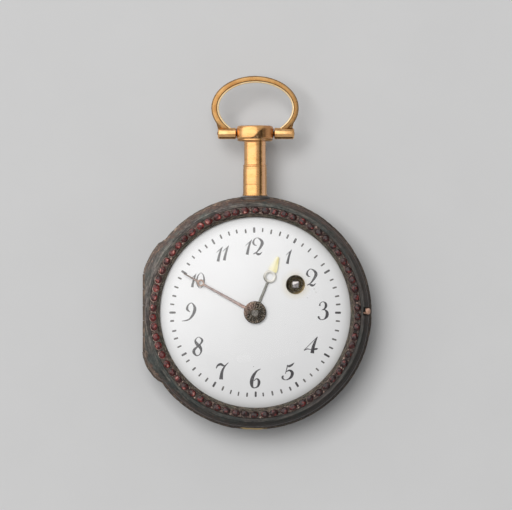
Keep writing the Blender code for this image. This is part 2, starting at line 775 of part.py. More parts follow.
def case_band():
    """The middle ring of the case: it carries the movement, the pendant and the hinge."""
    outer = CASE_RADIUS - BAND_CORNER
    inner = CASE_RADIUS - BAND_WALL
    skirt = CASE_RADIUS - SKIRT_INSET
    ledge = PILLAR_BACK - SEAT
    skirt_back = BAND_BACK - SKIRT_DEPTH
    middle = BAND_CORNER * 2.0
    profile = [
        (inner, BAND_FRONT),
        (outer, BAND_FRONT),
        (CASE_RADIUS, BAND_FRONT - middle),
        (CASE_RADIUS, BAND_BACK + middle),
        (outer, BAND_BACK),
        (skirt, BAND_BACK),
        (skirt, skirt_back),
        (inner - LEDGE_WIDTH, skirt_back),
        (inner - LEDGE_WIDTH, ledge),
        (inner, ledge),
    ]
    band = turned("case_band", profile, CASE_STEPS)
    add_shoulders(band, skirt + BAND_CORNER)
    band = hinge_flat(press_flat(band, SKIRT_FLAT, skirt + SEAT), BAND_FLAT)
    half = BEZEL_KNUCKLE_END + HINGE_GAP
    notch_x = HINGE_X + HINGE_NOTCH_DEPTH
    low = (-CASE_RADIUS - OVERRUN, -half, BAND_BACK - SEAT)
    notch = box("notch", low, (notch_x, half, BAND_FRONT + OVERRUN))
    band = cut(band, notch)
    near = half + SEAT
    knuckles = [hinge_knuckle("upper", near, HINGE_HALF), hinge_knuckle("lower", -HINGE_HALF, -near)]
    collar = rod("collar", COLLAR_RADIUS, CASE_RADIUS - COLLAR_LENGTH, CASE_RADIUS - SEAT, 28)
    band = joined(band, *knuckles, along_y(collar, 0.0, HINGE_Z))
    return finish(cut(band, hinge_bore()), SILVER_DARK)


def back_cover():
    """The domed back: a bowl with a flat land to rest on, hinged at 9 o'clock."""
    outer_radius = CASE_RADIUS - COVER_STEP
    inner_radius = outer_radius - COVER_WALL
    outside = bowl("back_cover", outer_radius, 0.0, COVER_RIM)
    inside = bowl("inside", inner_radius, COVER_WALL, COVER_RIM + OVERRUN)
    outside = hinge_flat(outside, COVER_FLAT)
    press_flat(inside, COVER_FLAT - COVER_WALL, outer_radius)
    cover = cut(outside, inside, collar_space("collar_space", COLLAR_RADIUS + COLLAR_GAP))
    half = COVER_KNUCKLE_HALF
    tab_half = half - SEAT
    tab_low = (-COVER_FLAT, -tab_half, COVER_RIM - KNUCKLE_RADIUS)
    tab = box("tab", tab_low, (-COVER_FLAT + COVER_WALL, tab_half, HINGE_Z))
    cover = joined(cover, hinge_knuckle("knuckle", -half, half), tab)
    return finish(cut(cover, hinge_bore()), SILVER_DARK)


def bowl(name, radius, floor, rim):
    """A solid bowl: a flat land, a flattened dome and a straight wall up to the rim."""
    points = dome(radius, COVER_CURVE - floor, COVER_POWER, 5)
    profile = [(0.0, rim), (radius, rim)]
    for across, up in points:
        if across > LAND_RADIUS:
            profile.append((across, COVER_CURVE - up))
    profile.append((LAND_RADIUS, floor))
    profile.append((0.0, floor))
    return turned(name, profile, CASE_STEPS)


def bezel():
    """The hinged front ring: outer slope, channel for the stones, seat for the glass."""
    radius = CASE_RADIUS - BEZEL_STEP
    crest = radius - SLOPE_WIDTH
    height = BEZEL_FRONT - BEZEL_BACK
    slope = [(crest + SLOPE_WIDTH * out, BEZEL_BACK + height * up) for out, up in SLOPE_SHARES]
    inner_foot = CASE_RADIUS - BAND_WALL
    lip = DIAL_FRONT + LIP_GAP
    profile = slope + [
        (radius, BEZEL_BACK),
        (inner_foot, BEZEL_BACK),
        (inner_foot - LIP_GAP, lip),
        (SIGHT_RADIUS, lip),
        (SIGHT_RADIUS, GLASS_SEAT),
        (GLASS_RADIUS, GLASS_SEAT),
        (GLASS_RADIUS, CHANNEL_FLOOR),
        (CHANNEL_OUTER, CHANNEL_FLOOR),
        (CHANNEL_OUTER, BEZEL_FRONT - STONE_BORDER),
    ]
    rim = crest - BAND_CORNER
    ring = hinge_flat(add_shoulders(turned("bezel", profile, CASE_STEPS), rim), BAND_FLAT)
    ring = cut(ring, collar_space("collar_space", COLLAR_RADIUS + COLLAR_GAP))
    near = COVER_KNUCKLE_HALF + HINGE_GAP
    for name, first, last in (("upper", near, BEZEL_KNUCKLE_END), ("lower", -BEZEL_KNUCKLE_END, -near)):
        tab_low = (-BAND_FLAT, first + SEAT, HINGE_Z)
        tab = box("tab", tab_low, (HINGE_X + KNUCKLE_RADIUS, last - SEAT, BEZEL_BACK + KNUCKLE_RADIUS))
        ring = joined(ring, hinge_knuckle(name, first, last), tab)
    roof = BEZEL_FRONT - POCKET_ROOF_DROP
    pocket_low = (POCKET_INNER, -POCKET_HALF, BEZEL_BACK - OVERRUN)
    pocket = box("pocket", pocket_low, (POCKET_OUTER, POCKET_HALF, roof))
    push_z = BEZEL_FRONT - PUSH_DROP
    wide = rod("wide", PUSH_RADIUS + SEAT, PUSH_CENTRE_X - PUSH_TRAVEL - RUN, CASE_RADIUS + OVERRUN, 20)
    slim = rod("slim", PUSH_SHAFT + SEAT, POCKET_INNER + RUN, CASE_RADIUS, 12)
    ring = cut(ring, hinge_bore(), pocket, along_x(wide, 0.0, push_z), along_x(slim, 0.0, push_z))
    return finish(ring, SILVER_DARK)


def stone_ring():
    """The setting strip with its row of cut stones, each raised and faceted."""
    inner = GLASS_RADIUS + STONE_BORDER
    outer = CHANNEL_OUTER - STONE_GAP
    floor = CHANNEL_FLOOR + SEAT
    top = floor + STONE_SETTING
    profile = [(inner, top), (outer, top), (outer, floor), (inner, floor)]
    ring = turned("stone_ring", profile, STONE_COUNT)
    work = bmesh.new()
    work.from_mesh(ring.data)
    tops = [face for face in work.faces if face.normal.z > TOP_FACE_SHARE]
    for apex in bmesh.ops.poke(work, faces=tops)["verts"]:
        apex.co.z += STONE_RISE
    work.to_mesh(ring.data)
    work.free()
    return finish(ring, GARNET, smooth=False)


def crystal():
    """The domed glass, a shell with an upright rim."""
    radius = GLASS_RADIUS - GLASS_GAP
    rim = GLASS_SEAT + SEAT
    outside = [(across, rim + GLASS_RIM + up) for across, up in dome(radius, GLASS_RISE, GLASS_POWER, 5)]
    inner = radius - GLASS_WALL
    inside = [
        (across, rim + GLASS_RIM + up)
        for across, up in dome(inner, GLASS_RISE - GLASS_WALL, GLASS_POWER, 4)
    ]
    profile = list(reversed(outside)) + [(radius, rim), (inner, rim)] + inside
    return finish(turned("crystal", profile, 40), GLASS)


def hinge_pin():
    """The pin through all the knuckles."""
    pin = along_y(rod("hinge_pin", HINGE_PIN_RADIUS, -HINGE_HALF, HINGE_HALF, 12), HINGE_X, HINGE_Z)
    return finish(pin, STEEL)


def push_piece():
    """The button on the bezel: a round head on a shaft that reaches the latch spring."""
    shaft_end = POCKET_OUTER - SEAT
    profile = [(0.0, PUSH_CENTRE_X + PUSH_RADIUS)]
    for x, y in arc(PUSH_RADIUS, QUARTER * PUSH_ROUND_SHARE, 0.0, 4):
        profile.append((x, PUSH_CENTRE_X + y))
    profile += [(PUSH_SHAFT, PUSH_CENTRE_X), (PUSH_SHAFT, shaft_end), (0.0, shaft_end)]
    button = along_x(turned("push_piece", profile, 16), 0.0, BEZEL_FRONT - PUSH_DROP)
    return finish(button, COPPER)


def latch_spring():
    """A leaf in the bezel's pocket that the push piece bends to free the bezel."""
    outer = POCKET_OUTER - SEAT - PUSH_TRAVEL - RUN
    roof = BEZEL_FRONT - POCKET_ROOF_DROP - SEAT
    low = (outer - LATCH_THICKNESS, -LATCH_HALF, roof - LATCH_HEIGHT)
    leaf = box("latch_spring", low, (outer, LATCH_HALF, roof))
    return finish(leaf, STEEL, smooth=False)


# Pendant and bow


def pendant():
    """The neck and its drum-shaped head."""
    foot = CASE_RADIUS + SEAT
    top = CASE_RADIUS + NECK_LENGTH
    ring = CASE_RADIUS + NECK_LENGTH * NECK_RING_SHARE
    end = top + HEAD_LENGTH
    waist = NECK_RADIUS - BAND_CORNER / 2.0
    profile = [
        (0.0, end),
        (HEAD_RADIUS - HEAD_ROUND, end),
        (HEAD_RADIUS, end - HEAD_ROUND),
        (HEAD_RADIUS, top + HEAD_ROUND),
        (HEAD_RADIUS - HEAD_ROUND, top),
        (NECK_TOP_RADIUS, top),
        (NECK_TOP_RADIUS, ring + NECK_RING * 2.0),
        (NECK_RADIUS, ring + NECK_RING),
        (waist, ring + NECK_RING / 2.0),
        (NECK_RADIUS, ring),
        (NECK_RADIUS, foot + NECK_RING * 2.0),
        (NECK_FOOT, foot + NECK_RING),
        (NECK_FOOT, foot),
        (0.0, foot),
    ]
    body = along_y(turned("pendant", profile, 24), 0.0, HINGE_Z)
    reach = HEAD_RADIUS + OVERRUN
    bore = along_x(rod("bore", BOW_PIN_RADIUS + SEAT, -reach, reach, 14), BOW_AXIS_Y, HINGE_Z)
    return finish(cut(body, bore), GOLD)


def bow():
    """The oval loop with a knuckle at each foot."""
    half_width = BOW_HALF_WIDTH - BOW_WIRE
    half_height = BOW_HALF_HEIGHT - BOW_WIRE
    middle = BOW_AXIS_Y + BOW_TOP - BOW_HALF_HEIGHT
    first = -TURN * BOW_START_SHARE
    sweep = TURN / 2.0 - 2.0 * first
    route = []
    for k in range(BOW_POINTS + 1):
        angle = first + sweep * k / BOW_POINTS
        route.append((half_width * math.cos(angle), middle + half_height * math.sin(angle), HINGE_Z))
    loop = tube("bow", route, BOW_WIRE, 1)
    for side in (1.0, -1.0):
        loop = joined(loop, bow_knuckle(side))
    reach = BOW_KNUCKLE_END + OVERRUN
    bore = along_x(rod("bore", BOW_PIN_RADIUS + SEAT, -reach, reach, 14), BOW_AXIS_Y, HINGE_Z)
    return finish(cut(loop, bore), GOLD)


def bow_knuckle(side):
    """One chamfered barrel of the bow."""
    first = BOW_KNUCKLE_START
    last = BOW_KNUCKLE_END
    edge = BOW_KNUCKLE_CHAMFER
    profile = [
        (0.0, last),
        (BOW_KNUCKLE_RADIUS - edge, last),
        (BOW_KNUCKLE_RADIUS, last - edge),
        (BOW_KNUCKLE_RADIUS, first + edge / 2.0),
        (BOW_KNUCKLE_RADIUS - edge / 2.0, first),
        (0.0, first),
    ]
    barrel = along_x(turned("knuckle", profile, 16), BOW_AXIS_Y, HINGE_Z)
    if side < 0.0:
        barrel.data.transform(Matrix.Rotation(TURN / 2.0, 4, "Y"))
        moved(barrel, 0.0, 0.0, 2.0 * HINGE_Z)
    return barrel


def bow_pin():
    """The pin through the head and the bow's knuckles."""
    pin = rod("bow_pin", BOW_PIN_RADIUS, -BOW_KNUCKLE_END, BOW_KNUCKLE_END, 14)
    return finish(along_x(pin, BOW_AXIS_Y, HINGE_Z), GOLD)


# Dial and hands


def dial():
    """The convex enamel dial on its copper, with feet that stand on the pillar plate."""
    rise_steps = 3
    front = []
    for k in range(rise_steps + 1):
        radius = DIAL_CENTRE_HOLE + (DIAL_RADIUS - DIAL_CENTRE_HOLE) * k / rise_steps
        front.append((radius, DIAL_FRONT + dial_rise(radius)))
    back = [(radius, height - DIAL_THICKNESS) for radius, height in reversed(front)]
    face = turned("dial", front + back, CASE_STEPS)
    feet = []
    for degrees in DIAL_FOOT_ANGLES:
        x, y = polar(DIAL_FOOT_CIRCLE, math.radians(degrees))
        foot_top = DIAL_FRONT + dial_rise(DIAL_FOOT_CIRCLE) - SEAT
        foot = rod("foot", DIAL_FOOT_RADIUS, PILLAR_FRONT + SEAT, foot_top, 10)
        feet.append(moved(foot, x, y))
    face = joined(face, *feet)
    hole = rod("hole", WINDING_HOLE, DIAL_BACK - OVERRUN, DIAL_FRONT + DIAL_RISE + OVERRUN, 28)
    return finish(cut(face, moved(hole, *FUSEE_PLACE)), ENAMEL)


def dial_rise(radius):
    """How far the dial's dome stands above its edge."""
    return DIAL_RISE * (1.0 - (radius / DIAL_RADIUS) ** 2)


def hand_outline(start, length, ring_place, ring_outer, stem, stem_end, tip, tip_place):
    """A hand's edge along +Y: stem, ring, and a pointed leaf. Returns the right side and its mirror."""
    reach = math.asin(stem_end / ring_outer)
    right = [(stem, start)]
    steps = 7
    for k in range(steps + 1):
        angle = reach - QUARTER + (TURN / 2.0 - 2.0 * reach) * k / steps
        right.append((ring_outer * math.cos(angle), ring_place + ring_outer * math.sin(angle)))
    right.append((tip, tip_place))
    right.append((tip / 2.0, (tip_place + length) / 2.0))
    left = [(-x, y) for x, y in reversed(right)]
    return right + [(0.0, length)] + left


def turn_hand(piece, degrees):
    """Point a hand at its time, clockwise from 12."""
    piece.data.transform(Matrix.Rotation(-math.radians(degrees), 4, "Z"))
    return piece


def minute_hand():
    """Slim stem, small ring and point, with a domed boss over the centre."""
    edge = hand_outline(
        BOSS_RADIUS / 2.0, MINUTE_HAND_LENGTH, MINUTE_RING_PLACE, MINUTE_RING_OUTER,
        MINUTE_STEM, MINUTE_STEM_END, MINUTE_TIP, MINUTE_TIP_PLACE,
    )
    hole = shifted(circle(MINUTE_RING_INNER, 12), (0.0, MINUTE_RING_PLACE))
    front = MINUTE_HAND_BACK + HAND_THICKNESS
    blade = plate("minute_hand", [edge, hole], MINUTE_HAND_BACK, front)
    crown = front + BOSS_RISE
    profile = [(BOSS_RADIUS * out, front + BOSS_RISE * up) for out, up in BOSS_SHARES]
    profile += [(BOSS_RADIUS, MINUTE_HAND_BACK), (0.0, MINUTE_HAND_BACK)]
    blade = joined(turn_hand(blade, MINUTE_HAND_ANGLE), turned("boss", profile, 20))
    side = CANNON_SQUARE + 2.0 * SEAT
    opening = plate("opening", [square(side)], MINUTE_HAND_BACK - OVERRUN, crown + OVERRUN)
    return finish(cut(blade, opening), COPPER)


def hour_hand():
    """Stem, wide ring and leaf-shaped tip, on the hour pipe."""
    tip_place = HOUR_RING_PLACE + HOUR_RING_OUTER + HOUR_TIP
    edge = hand_outline(
        HOUR_BOSS / 2.0, HOUR_HAND_LENGTH, HOUR_RING_PLACE, HOUR_RING_OUTER,
        HOUR_STEM, HOUR_STEM, HOUR_TIP, tip_place,
    )
    hole = shifted(circle(HOUR_RING_INNER, 14), (0.0, HOUR_RING_PLACE))
    front = HOUR_HAND_BACK + HAND_THICKNESS
    blade = turn_hand(plate("hour_hand", [edge, hole], HOUR_HAND_BACK, front), HOUR_HAND_ANGLE)
    blade = joined(blade, rod("boss", HOUR_BOSS, HOUR_HAND_BACK, front, 18))
    bore = rod("bore", HOUR_PIPE + WHEEL_BORE_GAP, HOUR_HAND_BACK - OVERRUN, front + OVERRUN, 14)
    return finish(cut(blade, bore), STEEL)


# Motion work


def cannon_pinion():
    """Pipe over the centre arbor with ten leaves below and a square for the minute hand."""
    back = PILLAR_FRONT + MOTION_RISE
    shoulder_z = MINUTE_HAND_BACK - SEAT
    tip = MINUTE_HAND_BACK + HAND_THICKNESS + BOSS_RISE + CANNON_SQUARE_RISE
    angle = math.radians(MINUTE_WHEEL_ANGLE)
    leaves = pinion_outline(CANNON_LEAVES, MOTION_MODULE, angle + TURN / 2.0 / CANNON_LEAVES)
    piece = plate("cannon_pinion", [leaves], back, back + MOTION_THICKNESS)
    pipe = rod("pipe", CANNON_PIPE, back, shoulder_z, 12)
    squared = plate("squared", [square(CANNON_SQUARE)], shoulder_z - OVERRUN, tip)
    piece = joined(piece, pipe, squared)
    bore = rod("bore", CANNON_BORE, back - OVERRUN, tip + OVERRUN, 10)
    return finish(cut(piece, bore), STEEL)


def minute_wheel():
    """Thirty teeth driven by the cannon pinion, and eight leaves that drive the hour wheel."""
    back = PILLAR_FRONT + MOTION_RISE
    angle = math.radians(MINUTE_WHEEL_ANGLE)
    teeth = wheel_outline(MINUTE_TEETH, MOTION_MODULE, angle + TURN / 2.0)
    piece = plate("minute_wheel", [teeth], back, back + MOTION_THICKNESS)
    leaves = pinion_outline(MINUTE_LEAVES, MOTION_MODULE, angle + TURN / 2.0)
    top = back + MOTION_STEP + MOTION_THICKNESS
    piece = joined(piece, plate("leaves", [leaves], back + SEAT, top))
    bore = rod("bore", MINUTE_STUD_RADIUS + WHEEL_BORE_GAP, back - OVERRUN, top + OVERRUN, 8)
    return finish(cut(piece, bore), BRASS, MINUTE_PLACE)


def minute_stud():
    """The post that the minute wheel turns on, fixed in the pillar plate."""
    top = PILLAR_FRONT + MOTION_RISE + MOTION_STEP + MOTION_THICKNESS + SEAT
    foot = PILLAR_FRONT - PILLAR_PLATE_THICKNESS / 2.0
    return finish(rod("minute_stud", MINUTE_STUD_RADIUS, foot, top, 8), STEEL, MINUTE_PLACE)


def hour_wheel():
    """Thirty-two teeth on a pipe that carries the hour hand."""
    back = PILLAR_FRONT + MOTION_RISE + MOTION_STEP
    angle = math.radians(MINUTE_WHEEL_ANGLE)
    teeth = wheel_outline(HOUR_TEETH, MOTION_MODULE, angle + TURN / 2.0 / HOUR_TEETH)
    piece = plate("hour_wheel", [teeth], back, back + MOTION_THICKNESS)
    pipe_end = HOUR_HAND_BACK + HAND_THICKNESS
    piece = joined(piece, rod("pipe", HOUR_PIPE, back, pipe_end, 14))
    bore = rod("bore", HOUR_BORE, back - OVERRUN, pipe_end + OVERRUN, 12)
    return finish(cut(piece, bore), BRASS)


# Frame of the movement


def pivot_hole(place, radius, steps=8):
    """A hole's outline in a plate."""
    return shifted(circle(radius + PIVOT_CLEARANCE, steps), place)


def pillar_place(index):
    """Where a pillar stands."""
    return polar(PILLAR_CIRCLE, math.radians(PILLAR_ANGLES[index]))


def pillar_plate():
    """The plate under the dial that the pillars are riveted to."""
    holes = [
        pivot_hole(CENTRE_PLACE, CENTRE_FRONT_RADIUS, 8),
        pivot_hole(FUSEE_PLACE, FUSEE_ARBOR_RADIUS, 12),
        pivot_hole(BARREL_PLACE, BARREL_PIVOT, 12),
        pivot_hole(THIRD_PLACE, PIVOT_RADIUS),
        pivot_hole(CONTRATE_PLACE, PIVOT_RADIUS),
        pivot_hole(MINUTE_PLACE, MINUTE_STUD_RADIUS),
    ]
    holes += [pivot_hole(pillar_place(k), PILLAR_PIVOT) for k in range(len(PILLAR_ANGLES))]
    outline = [circle(PLATE_RADIUS, CASE_STEPS)] + holes
    return finish(plate("pillar_plate", outline, PILLAR_BACK, PILLAR_FRONT), BRASS)


def top_plate():
    """The plate at the back, held on the pillars, with the verge passing through it."""
    holes = [
        pivot_hole(CENTRE_PLACE, PIVOT_RADIUS),
        pivot_hole(FUSEE_PLACE, PIVOT_RADIUS * 2.0),
        pivot_hole(BARREL_PLACE, BARREL_PIVOT, 12),
        pivot_hole(THIRD_PLACE, PIVOT_RADIUS),
        pivot_hole(CONTRATE_PLACE, PIVOT_RADIUS),
        pivot_hole(VERGE_PLACE, PALLET_REACH + RUN, 14),
        pivot_hole(REGULATOR_PLACE, REGULATOR_PIN),
    ]
    holes += [pivot_hole(pillar_place(k), PILLAR_PIVOT) for k in range(len(PILLAR_ANGLES))]
    holes += [pivot_hole(place, COCK_SCREW_RADIUS) for place in cock_ears()]
    outline = [circle(TOP_PLATE_RADIUS, CASE_STEPS)] + holes
    return finish(plate("top_plate", outline, TOP_BACK, TOP_FRONT), BRASS)


def pillars():
    """Turned baluster pillars between the plates, with a pivot at each end."""
    low = TOP_FRONT + SEAT
    high = PILLAR_BACK - SEAT
    foot = PILLAR_WAIST
    for index in range(len(PILLAR_ANGLES)):
        profile = [
            (0.0, PILLAR_FRONT - SEAT),
            (PILLAR_PIVOT, PILLAR_FRONT - SEAT),
            (PILLAR_PIVOT, high),
            (PILLAR_RADIUS, high),
            (PILLAR_RADIUS, high - foot),
            (PILLAR_WAIST, high - foot * 2.0),
            (PILLAR_RADIUS, (low + high) / 2.0),
            (PILLAR_WAIST, low + foot * 2.0),
            (PILLAR_RADIUS, low + foot),
            (PILLAR_RADIUS, low),
            (PILLAR_PIVOT, low),
            (PILLAR_PIVOT, TOP_BACK - PILLAR_PIVOT),
            (0.0, TOP_BACK - PILLAR_PIVOT),
        ]
        finish(turned("pillar_" + str(index + 1), profile, 8), BRASS, pillar_place(index))


def dial_plate():
    """The brass edge: a ring between the pillar plate and the dial."""
    back = PILLAR_FRONT + SEAT
    front = back + DIAL_PLATE_THICKNESS
    inner = DIAL_PLATE_INNER
    outer = DIAL_PLATE_OUTER
    profile = [(inner, front), (outer, front), (outer, back), (inner, back)]
    ring = turned("dial_plate", profile, 32)
    return finish(ring, BRASS)


# Power: barrel, mainspring, fusee and chain


def barrel_levels():
    """The barrel's back and front faces."""
    back = TOP_FRONT + BARREL_RISE
    return back, back + BARREL_HEIGHT


def barrel():
    """The drum: an open cup with a hole for its arbor."""
    back, front = barrel_levels()
    bore = BARREL_PIVOT + RUN
    inner = BARREL_RADIUS - BARREL_WALL
    profile = [
        (inner, front),
        (BARREL_RADIUS, front),
        (BARREL_RADIUS, back),
        (bore, back),
        (bore, back + BARREL_WALL),
        (inner, back + BARREL_WALL),
    ]
    return finish(turned("barrel", profile, 28), BRASS, BARREL_PLACE)


def barrel_cover():
    """The lid that snaps into the barrel."""
    front = barrel_levels()[1]
    back = front - BARREL_WALL
    outer = BARREL_RADIUS - BARREL_WALL - SEAT
    bore = BARREL_PIVOT + RUN
    profile = [(bore, front), (outer, front), (outer, back), (bore, back)]
    return finish(turned("barrel_cover", profile, 28), BRASS, BARREL_PLACE)


def barrel_arbor():
    """The arbor that the mainspring's inner end hooks to, with a square for the ratchet."""
    back, front = barrel_levels()
    core_back = back + BARREL_WALL + SEAT
    core_front = front - BARREL_WALL - SEAT
    square_front = PILLAR_FRONT + MOTION_RISE + RATCHET_THICKNESS
    profile = [
        (0.0, PILLAR_FRONT),
        (BARREL_PIVOT, PILLAR_FRONT),
        (BARREL_PIVOT, core_front),
        (BARREL_ARBOR_RADIUS, core_front),
        (BARREL_ARBOR_RADIUS, core_back),
        (BARREL_PIVOT, core_back),
        (BARREL_PIVOT, TOP_BACK + SEAT),
        (0.0, TOP_BACK + SEAT),
    ]
    arbor = turned("barrel_arbor", profile, 12)
    end = plate("end", [square(BARREL_SQUARE)], PILLAR_FRONT - SEAT, square_front)
    return finish(joined(arbor, end), STEEL, BARREL_PLACE)


def mainspring():
    """A flat steel strip wound in a spiral from the arbor to the barrel wall."""
    back, front = barrel_levels()
    inner = BARREL_ARBOR_RADIUS + MAINSPRING_GAP
    outer = BARREL_RADIUS - BARREL_WALL - MAINSPRING_GAP - MAINSPRING_STRIP
    count = MAINSPRING_TURNS * MAINSPRING_POINTS
    inside = []
    outside = []
    for k in range(count + 1):
        angle = TURN * k / MAINSPRING_POINTS
        radius = inner + (outer - inner) * k / count
        inside.append(polar(radius, angle))
        outside.append(polar(radius + MAINSPRING_STRIP, angle))
    gap = (outer - inner) / MAINSPRING_TURNS - MAINSPRING_STRIP
    print("mainspring: least gap between coils", round(gap / MM, 3), "mm")
    low = back + BARREL_WALL + MAINSPRING_GAP
    high = front - BARREL_WALL - MAINSPRING_GAP
    strip = plate("mainspring", [inside + list(reversed(outside))], low, high)
    return finish(strip, BLUE_STEEL, BARREL_PLACE)


def ratchet_wheel():
    """The set-up ratchet on the barrel arbor's square, in front of the pillar plate."""
    back = PILLAR_FRONT + MOTION_RISE
    pitch = TURN / RATCHET_TEETH
    points = []
    for k in range(RATCHET_TEETH):
        points.append(polar(RATCHET_RADIUS, k * pitch))
        points.append(polar(RATCHET_RADIUS - RATCHET_TOOTH, (k + RATCHET_LEAN_SHARE) * pitch))
    hole = square(BARREL_SQUARE + 2.0 * SEAT)
    wheel = plate("ratchet_wheel", [points, hole], back, back + RATCHET_THICKNESS)
    return finish(wheel, STEEL, BARREL_PLACE)


def ratchet_click():
    """The pawl that holds the ratchet, on its own screw."""
    back = PILLAR_FRONT + MOTION_RISE
    pivot = CLICK_PLACE
    tooth_angle = direction(CENTRE_PLACE, pivot) + QUARTER / 2.0
    end = polar(RATCHET_RADIUS + CLICK_GAP, tooth_angle)
    arm_angle = direction(pivot, end)
    reach = distance(pivot, end)
    head = arc(CLICK_RADIUS, QUARTER / 2.0, TURN - QUARTER / 2.0, 9)
    outline = head + [(reach, -CLICK_WIDTH / 2.0), (reach, CLICK_WIDTH / 2.0)]
    pawl = plate("ratchet_click", [outline], back, back + RATCHET_THICKNESS)
    pawl.data.transform(Matrix.Rotation(arm_angle, 4, "Z"))
    spot = (BARREL_PLACE[0] + pivot[0], BARREL_PLACE[1] + pivot[1])
    return finish(pawl, STEEL, spot)


def fusee_radius(height):
    """The fusee's outer radius: it grows towards the great wheel."""
    share = (height - FUSEE_BACK) / (FUSEE_FRONT - FUSEE_BACK)
    return FUSEE_SMALL_RADIUS + (FUSEE_BIG_RADIUS - FUSEE_SMALL_RADIUS) * share**FUSEE_POWER


def fusee():
    """The grooved cone that evens out the mainspring's pull."""
    steps = FUSEE_GROOVES * 2
    profile = [(FUSEE_ARBOR_RADIUS + WHEEL_BORE_GAP, FUSEE_FRONT)]
    for k in range(steps, -1, -1):
        height = FUSEE_BACK + (FUSEE_FRONT - FUSEE_BACK) * k / steps
        depth = FUSEE_GROOVE_DEPTH if k % 2 else 0.0
        profile.append((fusee_radius(height) - depth, height))
    profile.append((FUSEE_ARBOR_RADIUS + WHEEL_BORE_GAP, FUSEE_BACK))
    return finish(turned("fusee", profile, 28), BRASS, FUSEE_PLACE)


def great_wheel():
    """The first wheel of the train, behind the pillar plate."""
    angle = direction(FUSEE_PLACE, CENTRE_PLACE)
    teeth = wheel_outline(GREAT_TEETH, GREAT_MODULE, angle)
    bore = circle(FUSEE_ARBOR_RADIUS + WHEEL_BORE_GAP, 18)
    return finish(plate("great_wheel", [teeth, bore], GREAT_BACK, GREAT_FRONT), BRASS, FUSEE_PLACE)


def fusee_arbor():
    """The arbor through the fusee, ending in the winding square under the dial's hole."""
    pivot = PIVOT_RADIUS * 2.0
    square_back = PILLAR_FRONT + MOTION_RISE
    square_front = DIAL_FRONT + WINDING_SQUARE_REST
    profile = [
        (0.0, square_back),
        (FUSEE_ARBOR_RADIUS, square_back),
        (FUSEE_ARBOR_RADIUS, FUSEE_BACK - SEAT),
        (pivot, FUSEE_BACK - SEAT),
        (pivot, TOP_BACK + SEAT),
        (0.0, TOP_BACK + SEAT),
    ]
    arbor = turned("fusee_arbor", profile, 12)
    end = plate("end", [square(WINDING_SQUARE)], square_back - SEAT, square_front)
    return finish(joined(arbor, end), STEEL, FUSEE_PLACE)


def fusee_chain():
    """The chain: round the barrel, across to the fusee and round its grooves to the big end."""
    wire = CHAIN_RADIUS
    leave = (FUSEE_BACK + FUSEE_FRONT) / 2.0
    barrel_ring = BARREL_RADIUS + wire + CHAIN_GAP
    fusee_ring = fusee_radius(leave) + wire + CHAIN_GAP
    span = distance(BARREL_PLACE, FUSEE_PLACE)
    line = direction(BARREL_PLACE, FUSEE_PLACE)
    tangent = line + QUARTER - math.asin((barrel_ring - fusee_ring) / span)
    route = []
    wrap = round(CHAIN_WRAP_TURNS * CHAIN_POINTS_PER_TURN)
    for k in range(wrap, -1, -1):
        x, y = polar(barrel_ring, tangent + TURN * k / CHAIN_POINTS_PER_TURN)
        route.append((BARREL_PLACE[0] + x, BARREL_PLACE[1] + y, leave))
    turns = round(CHAIN_TURNS * CHAIN_POINTS_PER_TURN)
    end = FUSEE_FRONT - wire - RUN
    for k in range(turns + 1):
        height = leave + (end - leave) * k / turns
        ring = fusee_radius(height + wire) + wire + CHAIN_GAP
        x, y = polar(ring, tangent - TURN * k / CHAIN_POINTS_PER_TURN)
        route.append((FUSEE_PLACE[0] + x, FUSEE_PLACE[1] + y, height))
    return finish(tube("fusee_chain", route, wire, 1), STEEL)


# Going train


def arbor_between_plates(name, front_radius=PIVOT_RADIUS, front_end=None):
    """A plain arbor with a pivot in each plate."""
    end = front_end or PILLAR_FRONT - SEAT
    profile = [
        (0.0, end),
        (front_radius, end),
        (front_radius, PILLAR_BACK - RUN),
        (ARBOR_RADIUS, PILLAR_BACK - RUN),
        (ARBOR_RADIUS, TOP_FRONT + RUN),
        (PIVOT_RADIUS, TOP_FRONT + RUN),
        (PIVOT_RADIUS, TOP_BACK + SEAT),
        (0.0, TOP_BACK + SEAT),
    ]
    if front_radius >= ARBOR_RADIUS:
        del profile[2:4]
        profile.insert(2, (front_radius, TOP_FRONT + RUN))
        del profile[3]
    return turned(name, profile, 8)


def spoked_wheel(name, teeth, module, start, spokes, back):
    """A thin brass wheel with crossings and a bore that fits its arbor."""
    rim = teeth * module / 2.0 - ROOT_SHARE * module - RIM_WIDTH
    outlines = [wheel_outline(teeth, module, start), circle(ARBOR_RADIUS + WHEEL_BORE_GAP, 8)]
    outlines += windows(spokes, HUB_RADIUS, rim, SPOKE_HALF, start)
    return plate(name, outlines, back, back + WHEEL_THICKNESS)


def half_pitch(leaves):
    """Half the angle between two leaves."""
    return TURN / 2.0 / leaves


def centre_arbor():
    """The arbor that carries the hands, with the pinion that the great wheel drives."""
    tip = MINUTE_HAND_BACK + HAND_THICKNESS
    arbor = arbor_between_plates("centre_arbor", CENTRE_FRONT_RADIUS, tip)
    angle = direction(CENTRE_PLACE, FUSEE_PLACE) + half_pitch(CENTRE_LEAVES)
    back = (GREAT_BACK + GREAT_FRONT - CENTRE_PINION_LENGTH) / 2.0
    outline = pinion_outline(CENTRE_LEAVES, GREAT_MODULE, angle)
    leaves = plate("leaves", [outline], back, back + CENTRE_PINION_LENGTH)
    return finish(joined(arbor, leaves), STEEL)


